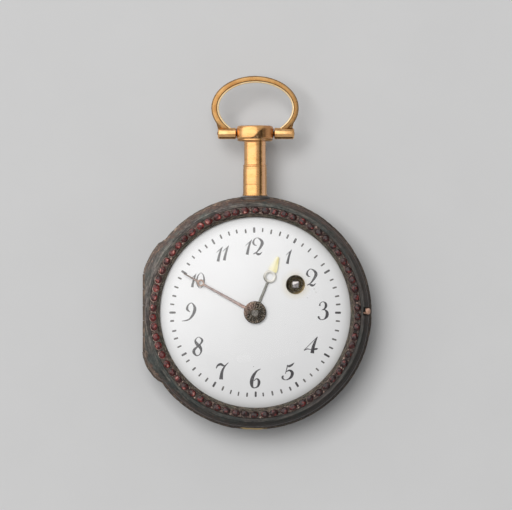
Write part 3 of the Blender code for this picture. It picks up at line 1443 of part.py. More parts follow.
def centre_wheel():
    """The wheel that turns once an hour."""
    angle = direction(CENTRE_PLACE, THIRD_PLACE)
    rim = CENTRE_TEETH * CENTRE_MODULE / 2.0 - ROOT_SHARE * CENTRE_MODULE - RIM_WIDTH
    outlines = [wheel_outline(CENTRE_TEETH, CENTRE_MODULE, angle)]
    outlines.append(circle(CENTRE_FRONT_RADIUS + WHEEL_BORE_GAP, 8))
    outlines += windows(4, HUB_RADIUS, rim, SPOKE_HALF, angle)
    wheel = plate("centre_wheel", outlines, CENTRE_WHEEL_BACK, CENTRE_WHEEL_BACK + WHEEL_THICKNESS)
    return finish(wheel, BRASS)


def third_arbor():
    """The third arbor with its pinion at the centre wheel's level."""
    arbor = arbor_between_plates("third_arbor")
    angle = direction(THIRD_PLACE, CENTRE_PLACE) + half_pitch(THIRD_LEAVES)
    back = CENTRE_WHEEL_BACK - RUN
    outline = pinion_outline(THIRD_LEAVES, CENTRE_MODULE, angle)
    leaves = plate("leaves", [outline], back, PILLAR_BACK - 2.0 * RUN)
    return finish(joined(arbor, leaves), STEEL, THIRD_PLACE)


def third_wheel():
    """The third wheel, beside the top plate."""
    angle = direction(THIRD_PLACE, CONTRATE_PLACE)
    back = TOP_FRONT + THIRD_WHEEL_RISE
    wheel = spoked_wheel("third_wheel", THIRD_TEETH, THIRD_MODULE, angle, 4, back)
    return finish(wheel, BRASS, THIRD_PLACE)


def contrate_arbor():
    """The contrate arbor with its pinion at the third wheel's level."""
    arbor = arbor_between_plates("contrate_arbor")
    angle = direction(CONTRATE_PLACE, THIRD_PLACE) + half_pitch(CONTRATE_LEAVES)
    back = TOP_FRONT + THIRD_WHEEL_RISE - RUN
    outline = pinion_outline(CONTRATE_LEAVES, THIRD_MODULE, angle)
    leaves = plate("leaves", [outline], back, back + CONTRATE_PINION_LENGTH)
    return finish(joined(arbor, leaves), STEEL, CONTRATE_PLACE)


def side_toothed(name, profile, teeth, tip, depth, lean_share=0.0):
    """A turned wheel whose rim edge at the tip height is cut into pointed teeth."""
    wheel = turned(name, profile, teeth * 2)
    pitch = TURN / teeth
    sign = 1.0 if depth > 0.0 else -1.0
    for vertex in wheel.data.vertices:
        if abs(vertex.co.z - tip) > SEAT:
            continue
        angle = math.atan2(vertex.co.y, vertex.co.x)
        step = round(angle / (pitch / 2.0))
        if step % 2:
            vertex.co.z -= sign * abs(depth)
        elif lean_share:
            radius = math.hypot(vertex.co.x, vertex.co.y)
            vertex.co.x, vertex.co.y = polar(radius, angle + lean_share * pitch)
    return wheel


def contrate_wheel():
    """The crown-toothed wheel that turns the drive through a right angle."""
    pitch_line = ESCAPE_Z + ESCAPE_LEAVES * CONTRATE_MODULE / 2.0
    tip = pitch_line - CONTRATE_BITE
    web_back = PILLAR_BACK - CONTRATE_WEB_DROP
    outer = CONTRATE_PITCH_RADIUS + CONTRATE_RIM / 2.0
    inner = CONTRATE_PITCH_RADIUS - CONTRATE_RIM / 2.0
    bore = ARBOR_RADIUS + WHEEL_BORE_GAP
    profile = [
        (bore, web_back + CONTRATE_WEB),
        (outer, web_back + CONTRATE_WEB),
        (outer, tip),
        (inner, tip),
        (inner, web_back),
        (bore, web_back),
    ]
    wheel = side_toothed("contrate_wheel", profile, CONTRATE_TEETH, tip, -CONTRATE_TOOTH)
    return finish(wheel, BRASS, CONTRATE_PLACE, smooth=False)


# Escapement


def escape_levels():
    """Where the crown wheel's tooth tips and web lie, from the verge along X."""
    tips = CROWN_TO_VERGE
    return tips, tips + CROWN_DEPTH


def escape_arbor():
    """The lying arbor with the pinion that the contrate wheel drives."""
    tips, web = escape_levels()
    reach = CONTRATE_PLACE[0] - VERGE_PLACE[0]
    pinion_middle = reach - CONTRATE_PITCH_RADIUS
    end = reach - FOLLOWER_INSET + FOLLOWER_THICKNESS - SEAT
    shoulder_end = reach - FOLLOWER_INSET - RUN
    profile = [
        (0.0, end),
        (ESCAPE_PIVOT, end),
        (ESCAPE_PIVOT, shoulder_end),
        (ESCAPE_ARBOR_RADIUS, shoulder_end),
        (ESCAPE_ARBOR_RADIUS, tips + NOSE_THICKNESS + RUN),
        (ESCAPE_PIVOT, tips + NOSE_THICKNESS + RUN),
        (ESCAPE_PIVOT, tips + SEAT),
        (0.0, tips + SEAT),
    ]
    arbor = turned("escape_arbor", profile, 8)
    low = pinion_middle - ESCAPE_PINION_LENGTH / 2.0
    outline = pinion_outline(ESCAPE_LEAVES, CONTRATE_MODULE, half_pitch(ESCAPE_LEAVES))
    arbor = joined(arbor, plate("leaves", [outline], low, low + ESCAPE_PINION_LENGTH))
    return escape_place(finish(arbor, STEEL))


def escape_place(piece):
    """Lay a piece made about Z along the escape arbor."""
    piece.rotation_euler = (0.0, QUARTER, 0.0)
    piece.location = (*VERGE_PLACE, ESCAPE_Z)
    return piece


def escape_wheel():
    """The crown wheel: fifteen leaning teeth that face the verge."""
    tips, web = escape_levels()
    inner = CROWN_RADIUS - CROWN_WALL
    bore = ESCAPE_ARBOR_RADIUS + WHEEL_BORE_GAP
    profile = [
        (bore, web + CROWN_WEB),
        (CROWN_RADIUS, web + CROWN_WEB),
        (CROWN_RADIUS, tips),
        (inner, tips),
        (inner, web),
        (bore, web),
    ]
    wheel = side_toothed("escape_wheel", profile, ESCAPE_TEETH, tips, -CROWN_TOOTH, CROWN_LEAN_SHARE)
    return escape_place(finish(wheel, BRASS, smooth=False))


def verge():
    """The balance staff with its two pallets, set at an angle to each other."""
    foot = PILLAR_BACK - POTENCE_FOOT_GAP - POTENCE_FOOT
    profile = [
        (0.0, foot + POTENCE_FOOT - SEAT),
        (VERGE_PIVOT, foot + POTENCE_FOOT - SEAT),
        (VERGE_PIVOT, foot - RUN),
        (VERGE_RADIUS, foot - RUN),
        (VERGE_RADIUS, BALANCE_FRONT + SPRING_GAP),
        (VERGE_COLLET, BALANCE_FRONT + SPRING_GAP),
        (VERGE_COLLET, BALANCE_FRONT + SEAT),
        (VERGE_RADIUS, BALANCE_FRONT + SEAT),
        (VERGE_RADIUS, COCK_FRONT + RUN),
        (VERGE_PIVOT, COCK_FRONT + RUN),
        (VERGE_PIVOT, COCK_BACK + SEAT),
        (0.0, COCK_BACK + SEAT),
    ]
    staff = turned("verge", profile, 10)
    middle = CROWN_RADIUS - CROWN_WALL / 2.0
    for side in (1.0, -1.0):
        height = ESCAPE_Z + side * middle
        low = (0.0, -PALLET_THICKNESS / 2.0, height - PALLET_HEIGHT / 2.0)
        high = (PALLET_REACH, PALLET_THICKNESS / 2.0, height + PALLET_HEIGHT / 2.0)
        pallet = box("pallet", low, high)
        pallet.data.transform(Matrix.Rotation(side * math.radians(PALLET_ANGLE), 4, "Z"))
        staff = joined(staff, pallet)
    return finish(staff, STEEL, VERGE_PLACE)


def potence():
    """The bracket on the top plate that holds the verge's foot and the escape arbor's end."""
    half = POTENCE_WIDTH / 2.0
    x, y = VERGE_PLACE
    foot_front = PILLAR_BACK - POTENCE_FOOT_GAP
    foot_back = foot_front - POTENCE_FOOT
    back_end = x - POTENCE_BACK
    stem_end = back_end + POTENCE_THICKNESS
    stem = box("potence", (back_end, y - half, TOP_FRONT + SEAT), (stem_end, y + half, foot_front))
    foot_end = (x + half / 2.0, y + half / 2.0, foot_front - SEAT)
    foot = box("foot", (back_end + SEAT, y - half / 2.0, foot_back), foot_end)
    nose = NOSE_SIZE / 2.0
    near = y + VERGE_RADIUS + RUN
    tips = x + CROWN_TO_VERGE
    nose_end = tips + NOSE_THICKNESS
    low = ESCAPE_Z - nose
    high = ESCAPE_Z + nose
    arm = box("arm", (back_end + SEAT, near, low), (nose_end, near + nose, high))
    tip = box("tip", (tips, y - nose, low + SEAT), (nose_end + SEAT, near + SEAT, high - SEAT))
    bracket = joined(stem, foot, arm, tip)
    lower = moved(rod("lower", VERGE_PIVOT + SEAT, foot_back - OVERRUN, foot_front + OVERRUN, 12), x, y)
    end = rod("end", ESCAPE_PIVOT + SEAT, tips - SEAT, nose_end + OVERRUN, 12)
    return finish(cut(bracket, lower, along_x(end, y, ESCAPE_Z)), BRASS, smooth=False)


def counter_potence():
    """The small post that holds the escape arbor's outer end, inside the contrate wheel's rim."""
    x = CONTRATE_PLACE[0] - FOLLOWER_INSET
    y = CONTRATE_PLACE[1]
    half = FOLLOWER_HALF
    low = (x, y - half, TOP_FRONT + SEAT)
    post = box("counter_potence", low, (x + FOLLOWER_THICKNESS, y + half, ESCAPE_Z + FOLLOWER_OVER))
    end = rod("end", ESCAPE_PIVOT + SEAT, x - OVERRUN, x + FOLLOWER_THICKNESS + OVERRUN, 12)
    return finish(cut(post, along_x(end, y, ESCAPE_Z)), BRASS, smooth=False)


# Balance and cock


def balance_wheel():
    """A plain three-armed steel ring on the verge."""
    outlines = [circle(BALANCE_RADIUS, 36), circle(VERGE_RADIUS + WHEEL_BORE_GAP, 12)]
    outlines += windows(3, HUB_RADIUS, BALANCE_RADIUS - BALANCE_RIM, SPOKE_HALF, QUARTER / 3.0, 8)
    return finish(plate("balance_wheel", outlines, BALANCE_BACK, BALANCE_FRONT), STEEL, VERGE_PLACE)


def balance_spring():
    """The flat spiral spring in one unbroken wire."""
    count = round(SPRING_TURNS * SPRING_POINTS_PER_TURN)
    height = BALANCE_FRONT + SPRING_GAP * 2.0 + SPRING_WIRE
    route = []
    for k in range(count + 1):
        turns = k / SPRING_POINTS_PER_TURN
        x, y = polar(SPRING_INNER + SPRING_PITCH * turns, TURN * turns)
        route.append((x, y, height))
    print("balance spring: least gap between coils", round(least_gap(route, SPRING_WIRE) / MM, 3), "mm")
    return finish(tube("balance_spring", route, SPRING_WIRE, 1), BLUE_STEEL, VERGE_PLACE)


def least_gap(route, wire):
    """The least distance between a coil's turns, less its own thickness."""
    skip = SPRING_POINTS_PER_TURN // 2
    least = min(
        math.dist(first, second)
        for k, first in enumerate(route)
        for second in route[k + skip:]
    )
    return least - 2.0 * wire


def spring_stud():
    """The block on the top plate that the spring's outer end is pinned in."""
    turns = SPRING_TURNS
    radius = SPRING_INNER + SPRING_PITCH * turns
    x, y = polar(radius, TURN * turns + (STUD_GAP + STUD_SIZE / 2.0) / radius)
    half = STUD_SIZE / 2.0
    height = BALANCE_FRONT + SPRING_GAP
    block = box("spring_stud", (x - half, y - half, height), (x + half, y + half, TOP_BACK - SEAT))
    return finish(block, BRASS, VERGE_PLACE, smooth=False)


def cock_axis():
    """The line through the cock's two ears, square to the line from the case axis."""
    return direction(CENTRE_PLACE, VERGE_PLACE) + QUARTER


def cock_ears():
    """Where the cock's two screws stand."""
    places = []
    for side in (1.0, -1.0):
        x, y = polar(side * COCK_EAR_PLACE, cock_axis())
        places.append((VERGE_PLACE[0] + x, VERGE_PLACE[1] + y))
    return places


def balance_cock():
    """The pierced round table over the balance, standing on two ears."""
    outlines = [circle(COCK_RADIUS, 36), circle(VERGE_PIVOT + SEAT, 10)]
    outlines += windows(COCK_WINDOWS, COCK_HUB, COCK_RADIUS - COCK_RIM, COCK_RIB_HALF, cock_axis(), 4)
    table = plate("balance_cock", outlines, COCK_BACK, COCK_FRONT)
    room = BALANCE_RADIUS + RUN * 2.0
    for side in (1.0, -1.0):
        x, y = polar(side * COCK_EAR_PLACE, cock_axis())
        ear = rod("ear", COCK_EAR_RADIUS, COCK_BACK + SEAT, TOP_BACK - SEAT, 16)
        ear = cut(moved(ear, x, y), rod("space", room, COCK_FRONT - SEAT, TOP_BACK, 40))
        bore = rod("bore", COCK_SCREW_RADIUS + SEAT, COCK_BACK - OVERRUN, TOP_BACK + OVERRUN, 10)
        head_floor = COCK_BACK + COCK_SCREW_HEAD_HEIGHT
        seat = rod("seat", COCK_SCREW_HEAD + SEAT, COCK_BACK - OVERRUN, head_floor, 12)
        table = joined(table, ear)
        table = cut(table, moved(bore, x, y), moved(seat, x, y))
    return finish(table, BRASS, VERGE_PLACE)


def cock_screws():
    """The two screws through the cock's ears."""
    head_front = COCK_BACK + COCK_SCREW_HEAD_HEIGHT - SEAT
    for index, place in enumerate(cock_ears()):
        profile = [
            (0.0, TOP_FRONT - SEAT),
            (COCK_SCREW_RADIUS, TOP_FRONT - SEAT),
            (COCK_SCREW_RADIUS, head_front),
            (COCK_SCREW_HEAD, head_front),
            (COCK_SCREW_HEAD, COCK_BACK + SEAT),
            (0.0, COCK_BACK + SEAT),
        ]
        finish(turned("cock_screw_" + str(index + 1), profile, 12), BLUE_STEEL, place)


def end_piece():
    """The steel plate over the balance's back pivot."""
    back = COCK_BACK - END_PIECE_THICKNESS
    return finish(rod("end_piece", END_PIECE_RADIUS, back, COCK_BACK - SEAT, 20), STEEL, VERGE_PLACE)


def figure_plate():
    """The silvered disc under the regulator."""
    back = TOP_BACK - SEAT - FIGURE_PLATE_THICKNESS
    outlines = [circle(FIGURE_PLATE_RADIUS, 32), circle(REGULATOR_PIN + PIVOT_CLEARANCE, 12)]
    disc = plate("figure_plate", outlines, back, TOP_BACK - SEAT)
    return finish(disc, ENAMEL, REGULATOR_PLACE)


def regulator():
    """The disc that a key turns to set the rate, with its square and its pin."""
    front = TOP_BACK - SEAT * 2.0 - FIGURE_PLATE_THICKNESS
    back = front - REGULATOR_THICKNESS
    pointer = [(REGULATOR_RADIUS + REGULATOR_POINTER, 0.0)]
    spread = math.radians(REGULATOR_POINTER_ANGLE)
    edge = arc(REGULATOR_RADIUS, spread, TURN - spread, 24)
    disc = plate("regulator", [pointer + edge], back, front)
    key = plate("key", [square(REGULATOR_SQUARE)], back - REGULATOR_THICKNESS, back + SEAT)
    pin = rod("pin", REGULATOR_PIN, front - SEAT, TOP_FRONT - SEAT, 12)
    return finish(joined(disc, key, pin), BLUE_STEEL, REGULATOR_PLACE)


def build_watch():
    """Make every piece, and hang the moving ones on their axes."""
    clear_scene()
    case_band()
    pendant()
    bow_pieces = [bow()]
    bow_pin()
    hinge_pin()
    front_pieces = [bezel(), stone_ring(), crystal(), push_piece(), latch_spring()]
    cover_pieces = [back_cover()]
    dial()
    dial_plate()
    pillar_plate()
    top_plate()
    pillars()
    cannon_pinion()
    minute_wheel()
    minute_stud()
    hour_wheel()
    hour_hand()
    minute_hand()
    barrel()
    barrel_cover()
    barrel_arbor()
    mainspring()
    ratchet_wheel()
    ratchet_click()
    fusee()
    great_wheel()
    fusee_arbor()
    fusee_chain()
    centre_arbor()
    centre_wheel()
    third_arbor()
    third_wheel()
    contrate_arbor()
    contrate_wheel()
    escape_arbor()
    escape_wheel()
    verge()
    potence()
    counter_potence()
    balance_wheel()
    balance_spring()
    spring_stud()
    balance_cock()
    cock_screws()
    end_piece()
    figure_plate()
    regulator()
    hang_on("bezel_axis", (HINGE_X, 0.0, HINGE_Z), front_pieces)
    hang_on("cover_axis", (HINGE_X, 0.0, HINGE_Z), cover_pieces)
    hang_on("bow_axis", (0.0, BOW_AXIS_Y, HINGE_Z), bow_pieces)


build_watch()
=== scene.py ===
import random
from math import atan2, cos, degrees, hypot, inf, pi, radians, remainder, sin

import bmesh
import bpy
from mathutils import Matrix, Vector, noise


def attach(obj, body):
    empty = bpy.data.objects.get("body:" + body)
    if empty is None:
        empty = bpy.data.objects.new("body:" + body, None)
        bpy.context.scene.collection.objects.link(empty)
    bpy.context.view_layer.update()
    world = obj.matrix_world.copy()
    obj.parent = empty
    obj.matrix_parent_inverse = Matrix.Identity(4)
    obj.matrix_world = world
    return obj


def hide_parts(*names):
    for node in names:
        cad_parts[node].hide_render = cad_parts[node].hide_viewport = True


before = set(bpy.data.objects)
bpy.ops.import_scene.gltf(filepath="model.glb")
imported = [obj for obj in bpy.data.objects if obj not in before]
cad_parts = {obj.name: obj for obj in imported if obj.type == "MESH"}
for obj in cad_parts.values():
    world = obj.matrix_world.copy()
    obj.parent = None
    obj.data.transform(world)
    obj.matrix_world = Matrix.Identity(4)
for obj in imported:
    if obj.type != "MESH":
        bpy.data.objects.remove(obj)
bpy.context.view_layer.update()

MM = 0.001
TURN = 2 * pi
scene = bpy.context.scene
rng = random.Random(7)
uniform = rng.uniform

# ---- levels and places, as in the CAD
HINGE_X = -23.35 * MM
HINGE_Z = 11.78 * MM
FLAT_HALF = 8.4 * MM
DIAL_R = 20.9 * MM
DIAL_EDGE = 14.03 * MM
DIAL_RISE = 1.2 * MM
HOLE = (8.63, 6.05)
WIND = Vector(HOLE) * MM
BOW_Y = 38.4 * MM
PUSH_Z = 15.23 * MM

# The bezel's opening and the hands' boss stand a little off the axis, as on the watch
OPENING = (0.07, 0.12)
SIGHT = Vector(OPENING) * MM
OFF_Y = 0.15 * MM

# ---- node helpers

NOISE_LOW, NOISE_HIGH = 0.3, 0.7
TO_LIGHT = (-0.66, 0.75)
SCRATCHES = (1, 7, 1)


def shade(parts):
    """A colour given in thousandths. One number stands for a grey."""
    return (*[part / 1000 for part in (parts if len(parts) == 3 else parts * 3)], 1)


class Nodes:
    """A node tree, with short calls for the nodes used here. A value may be a number, a colour or an output."""

    def __init__(self, name, data=bpy.data.materials, shader="Principled BSDF"):
        self.look = data.new(name)
        self.look.use_nodes = True
        self.tree = self.look.node_tree
        self.shader = self.tree.nodes[shader]
        self.coords = self.node("TexCoord", "Object")

    def put(self, socket, value):
        if isinstance(value, bpy.types.NodeSocket):
            self.tree.links.new(value, socket)
        else:
            socket.default_value = shade(value) if socket.type == "RGBA" else value

    def node(self, kind, out=0, numbered=(), **named):
        """Add a node, fill its settings and sockets, and give one of its outputs."""
        made = self.tree.nodes.new("ShaderNode" + kind)
        for key, value in named.items():
            if hasattr(made, key):
                setattr(made, key, value)
            else:
                self.put(made.inputs[key], value)
        for place, value in numbered:
            self.put(made.inputs[place], value)
        return made.outputs[out]

    def mapped(self, stretch=(1000, 1000, 1000), shift=(0, 0)):
        """The place on the object, in millimetres when stretched by 1000."""
        return self.node("Mapping", Vector=self.coords, Scale=stretch, Location=(-shift[0], -shift[1], 0))

    def axis(self, letter):
        return self.node("SeparateXYZ", letter, Vector=self.mapped())

    def radius(self, shift=(0, 0)):
        """Distance in millimetres from the case's axis, or from a line beside it."""
        return self.vector("LENGTH", self.mapped((1000, 1000, 0), shift), out=1)

    def noise(self, scale, detail=4, rough=0.55, stretch=None, place=None):
        place = place or (self.mapped(stretch) if stretch else self.coords)
        return self.node("TexNoise", "Fac", Vector=place, Scale=scale, Detail=detail, Roughness=rough)

    def cells(self, scale):
        return self.node("TexVoronoi", "Distance", Vector=self.coords, Scale=scale)

    def attribute(self, name):
        return self.node("Attribute", "Fac", attribute_name=name)

    def ramp(self, fac, *stops):
        """Colours along a value. A stop is a place in hundredths and a colour in thousandths."""
        band = self.tree.nodes.new("ShaderNodeValToRGB")
        while len(band.color_ramp.elements) < len(stops):
            band.color_ramp.elements.new(0.5)
        for element, (place, *colour) in zip(band.color_ramp.elements, stops):
            element.position = place / 100
            element.color = shade(colour)
        self.put(band.inputs["Fac"], fac)
        return band.outputs["Color"]

    def span(self, fac, low, high, start=0, end=1):
        """Runs from low to high while fac runs from start to end."""
        return self.node("MapRange", 0, enumerate((fac, start, end, low, high)))

    def wavy(self, fac, low, high):
        """Runs from low to high over the range that noise mostly fills."""
        return self.span(fac, low, high, NOISE_LOW, NOISE_HIGH)

    def mix(self, fac, a, b):
        return self.node("Mix", 2, ((0, fac), (6, a), (7, b)), data_type="RGBA")

    def maths(self, operation, a, b=0):
        return self.node("Math", 0, enumerate((a, b)), operation=operation)

    def vector(self, operation, *values, out=0, **named):
        return self.node("VectorMath", out, enumerate(values), operation=operation, **named)

    def plus(self, a, b):
        return self.maths("ADD", a, b)

    def minus(self, a, b):
        return self.maths("SUBTRACT", a, b)

    def times(self, first, *others):
        return self.maths("MULTIPLY", first, self.times(*others)) if others else first

    def slant(self, across, down):
        """A gradient in millimetres along a direction in the dial's plane."""
        return self.plus(self.times(self.axis("X"), across), self.times(self.axis("Y"), down))

    def streaks(self, along, across, detail=5):
        """Noise drawn out round the case's axis, as polishing and wear leave it."""
        long = self.vector("SCALE", self.vector("NORMALIZE", self.mapped((1, 1, 0))), Scale=along)
        both = self.minus(self.radius(), self.times(self.axis("Z"), 0.6))
        depth = self.node("CombineXYZ", Z=self.times(both, across))
        return self.noise(1, detail, 0.6, place=self.vector("ADD", long, depth))

    def rays(self, kind, *others):
        """1 for rays of the named kinds, 0 for the others."""
        one = self.node("LightPath", f"Is {kind} Ray")
        return self.maths("MAXIMUM", one, self.rays(*others)) if others else one

    def coat(self, fac, colour, start=None, end=None, most=1):
        """Lay a colour over the one so far, where fac is high or, with a start and end, passes them."""
        fac = fac if start is None else self.span(fac, 0, most, start, end)
        self.colour = self.mix(fac, self.colour, colour)

    def dim(self, factor):
        """Make the colour so far lighter or darker."""
        self.colour = self.vector("SCALE", self.colour, Scale=factor)

    def lit(self, low, high, reach):
        """Make the colour so far lighter towards the light, which comes from the upper left."""
        self.dim(self.span(self.slant(*TO_LIGHT), low, high, -reach, reach))

    def bump(self, height, distance, strength=1):
        """Raise the surface by a distance in millimetres."""
        self.set(Normal=self.node("Bump", Height=height, Distance=distance * MM, Strength=strength))

    def set(self, **values):
        for key, value in values.items():
            self.put(self.shader.inputs[key.replace("_", " ")], value)
        return self.look

    def done(self, metallic, fac, smooth, rough, **more):
        """Set the colour, the metallic share and a roughness that varies with a noise."""
        return self.set(Base_Color=self.colour, Metallic=metallic, Roughness=self.wavy(fac, smooth, rough), **more)


# ---- looks


def bezel_look():
    n = Nodes("bezel_metal")
    reach = n.radius()
    side = n.slant(*TO_LIGHT)
    n.colour = n.ramp(n.streaks(8, 2.8), (36, 20, 20, 18), (48, 44, 43, 39), (58, 72, 67, 59), (68, 120, 106, 88))
    n.coat(0.28, n.ramp(n.noise(150, 4, 0.6), (38, 26, 54, 52), (48, 48, 50, 44), (60, 80, 50, 50)))
    uneven = n.plus(reach, n.wavy(n.streaks(30, 1), -0.65, 0.65))
    brown = n.ramp(n.streaks(40, 5), (38, 34, 20, 16), (62, 108, 62, 46))
    n.coat(n.minus(uneven, n.span(n.axis("X"), 1.3, 0, -23.5, -18)), brown, 23.6, 24.25, 0.9)
    copper = n.ramp(n.noise(900), (40, 92, 58, 40), (62, 260, 175, 120))
    n.coat(n.times(n.span(uneven, 0, 1, 24.55, 24.68), n.span(n.noise(300, 3), 0, 0.8, 0.5, 0.62)), copper)
    line = n.ramp(n.span(n.radius((0.05, 0.09)), 0, 1, 22.92, 23.54), (30, 0), (50, 1000), (70, 0))
    n.coat(n.times(line, n.span(n.streaks(9, 0.6), 0, 0.75, 0.46, 0.6)), (170, 160, 146))
    n.dim(n.span(n.streaks(6, 4, 3), 0.66, 1.38, 0.36, 0.64))
    hair = n.streaks(12, 6.5)
    n.coat(hair, (150, 125, 98), 0.55, 0.64, 0.45)
    # painted light and shade: lighter towards the upper left, where the light comes from, and the outer slope painted
    # darker on the side away from it
    painted_side_light = n.span(n.maths("POWER", n.span(side, 0, 1, -24, 24), 1.7), 0.46, 1.86)
    outer = n.times(n.span(reach, 0, 1, 23.2, 24), n.span(side, 0.52, 0, -24, 2))
    n.dim(n.times(painted_side_light, n.minus(1, outer)))
    grain = n.noise(1700, 5, 0.65)
    n.dim(n.span(grain, 0.64, 1.38, 0.36, 0.64))
    n.bump(n.plus(grain, n.times(hair, 1.5)), 0.026)
    return n.done(0.45, grain, 0.4, 0.64)


def rim_look():
    n = Nodes("rim_metal")
    patches = n.streaks(24, 4)
    n.colour = n.ramp(patches, (38, 20, 16, 12), (50, 60, 46, 34), (62, 125, 98, 70))
    n.coat(n.noise(350, 3), (46, 54, 36), 0.5, 0.65, 0.5)
    line = n.ramp(n.span(n.radius(OPENING), 0, 1, 20.35, 21.2), (62, 0), (72, 500), (82, 0))
    n.coat(n.times(line, n.span(patches, 0, 1, 0.42, 0.6)), (200, 150, 100))
    n.bump(patches, 0.015)
    return n.done(0.4, patches, 0.35, 0.6)


def band_look():
    """Worn silver: brown lines along the turned beads, a gilt-coloured patch at 6 o'clock."""
    n = Nodes("band_silver")
    n.colour = n.ramp(n.streaks(14, 4), (33, 22, 20, 18), (50, 60, 48, 40), (62, 120, 88, 66), (72, 230, 160, 110))
    fine = n.streaks(20, 12)
    n.coat(fine, (190, 120, 85), 0.55, 0.62, 0.6)
    spots = n.noise(1500)
    n.coat(spots, (310, 235, 170), 0.58, 0.66, 0.8)
    wide = n.plus(n.maths("ABSOLUTE", n.plus(n.axis("X"), 0.4)), n.wavy(n.noise(700, 3), -0.8, 0.8))
    n.lit(0.55, 1.45, 24)
    n.coat(n.times(n.span(wide, 1, 0, 2, 3), n.span(n.axis("Y"), 1, 0, -24.4, -24)), (430, 310, 150))
    n.bump(n.plus(fine, spots), 0.022)
    return n.done(0.6, spots, 0.32, 0.55)


def collet_look():
    n = Nodes("collet_metal")
    patches = n.noise(2000, 4, 0.7)
    n.colour = n.ramp(patches, (38, 10, 6, 5), (50, 50, 32, 26), (62, 160, 110, 90))
    n.coat(n.noise(420, 3), (50, 52, 42), 0.48, 0.6, 0.55)
    n.lit(0.6, 1.2, 22)
    # painted highlight: the pale collet rims
    n.coat(n.attribute("worn"), n.ramp(patches, (38, 260, 140, 110), (60, 620, 450, 380)))
    n.bump(patches, 0.03)
    return n.done(0.5, patches, 0.3, 0.55)


def garnet_look():
    n = Nodes("garnet")
    stops = (0, 8, 3, 3), (38, 48, 8, 7), (66, 145, 18, 16), (86, 260, 50, 42), (100, 520, 300, 260)
    # the tint runs from dark red up to pale painted glints
    n.colour = n.ramp(n.attribute("tint"), *stops)
    inside = n.noise(2400, 3, 0.6)
    n.coat(inside, (10, 3, 3), 0.52, 0.6, 0.85)
    n.lit(0.65, 1.15, 22)
    return n.done(0, inside, 0.08, 0.25, IOR=1.45)


def enamel_look():
    """White enamel, with painted shade: greyer towards the lower right, and darker where it curves under the bezel."""
    n = Nodes("enamel")
    cloud = n.noise(130, 4, 0.5)
    side = n.plus(n.slant(-0.7, 0.72), n.wavy(cloud, -2, 2))
    # painted shade: grey at the lower right, white at the upper left, where the light comes from
    n.colour = n.ramp(n.span(side, 0, 1, -16, 16), (0, 700, 700, 703), (45, 760), (100, 900, 898, 900))
    few = n.span(n.noise(260, 2), 0, 1, 0.6, 0.64)
    n.coat(n.times(n.span(n.cells(420), 1, 0, 0.03, 0.1), few, 0.45), (300, 280, 260))
    # painted shade near the rim, under the bezel, heaviest at the lower right
    rim = n.maths("POWER", n.span(n.radius(), 0, 1, 17.6, 20.5), 2.2)
    n.coat(n.times(rim, n.span(side, 0.7, 0.58, -16, 16)), (215, 210, 195))
    halo = n.span(n.radius(HOLE), 0.38, 0, 2.2, 3.5)
    n.coat(n.times(halo, n.span(n.noise(500, 3), 0.4, 1, 0.3, 0.6)), (640, 560, 360))
    n.bump(n.noise(240, 2), 0.012)
    return n.done(0, cloud, 0.16, 0.28, IOR=1.5)


def ink_look():
    n = Nodes("ink")
    both = n.plus(n.span(n.axis("X"), 0, 0.5, -16, 16), n.span(n.axis("Y"), 0.5, 0, -16, 16))
    n.colour = n.ramp(both, (15, 235, 232, 230), (45, 95, 93, 96), (80, 36, 33, 37))
    worn = n.noise(900, 4, 0.7)
    n.coat(n.times(n.attribute("tint"), 0.85), (150, 140, 128))
    n.coat(worn, (330, 325, 320), 0.54, 0.75, 0.45)
    return n.done(0, worn, 0.35, 0.6)


def glass_look():
    """Clear old glass. Light reaches the dial through it, as through a thin pane."""
    n = Nodes("crystal_glass")
    n.bump(n.noise(90, 2), 0.02, 0.3)
    n.set(Base_Color=(992,), Roughness=0.01, Transmission_Weight=1, IOR=1.15)
    clear = n.node("BsdfTransparent", Color=(980,))
    through = n.rays("Shadow", "Diffuse", "Glossy")
    blend = n.node("MixShader", 0, enumerate((through, n.shader.outputs[0], clear)))
    n.put(n.tree.nodes["Material Output"].inputs["Surface"], blend)
    return n.look


def leaf_look():
    """The hour hand's tip: gilt that has paled on its left slope."""
    n = Nodes("gilt_leaf")
    patches = n.noise(900)
    n.colour = n.ramp(patches, (35, 930, 820, 360), (62, 960, 880, 480))
    n.coat(n.attribute("worn"), n.ramp(patches, (35, 790, 780, 680), (62, 830, 820, 750)))
    n.bump(patches, 0.003)
    return n.done(0.05, patches, 0.34, 0.46)


def ring_look():
    """The hour hand's ring: pale steel, its outer edge dark on two sides."""
    n = Nodes("ring_steel")
    patches = n.noise(900, 5, 0.6)
    n.colour = n.ramp(patches, (34, 520, 500, 440), (50, 660, 640, 580), (66, 760, 740, 690))
    n.coat(n.attribute("tint"), n.ramp(patches, (35, 75, 70, 58), (65, 170, 160, 135)))
    n.bump(patches, 0.004)
    return n.done(0.25, patches, 0.3, 0.44)


def boss_look():
    """Bronze rosette, with painted light and shade: reddish at its upper left, where the light falls, dark olive at
    its lower right, and light on the beads, partly rubbed bronze and partly painted highlight.
    """
    n = Nodes("boss_bronze")
    patches = n.noise(1500, 4, 0.7)
    side = n.plus(n.slant(0.75, -0.65), n.wavy(n.noise(600, 3), -0.7, 0.7))
    n.colour = n.ramp(patches, (40, 120, 70, 55), (50, 200, 124, 98), (60, 330, 225, 185))
    # painted shade: dark olive over all but the upper left
    n.coat(side, n.ramp(patches, (40, 28, 23, 16), (50, 60, 49, 36), (60, 135, 110, 80)), -2.2, -0.7)
    punched = n.cells(2300)
    n.dim(n.span(punched, 1.22, 0.72, 0.15, 0.6))
    # light on the bead tops, partly rubbed and partly painted highlight that fades towards the lower right
    n.coat(n.times(n.attribute("worn"), n.span(side, 1, 0.55, -1, 1.8)), (420, 320, 235))
    n.bump(n.minus(patches, punched), 0.011)
    return n.done(0.6, patches, 0.34, 0.54)


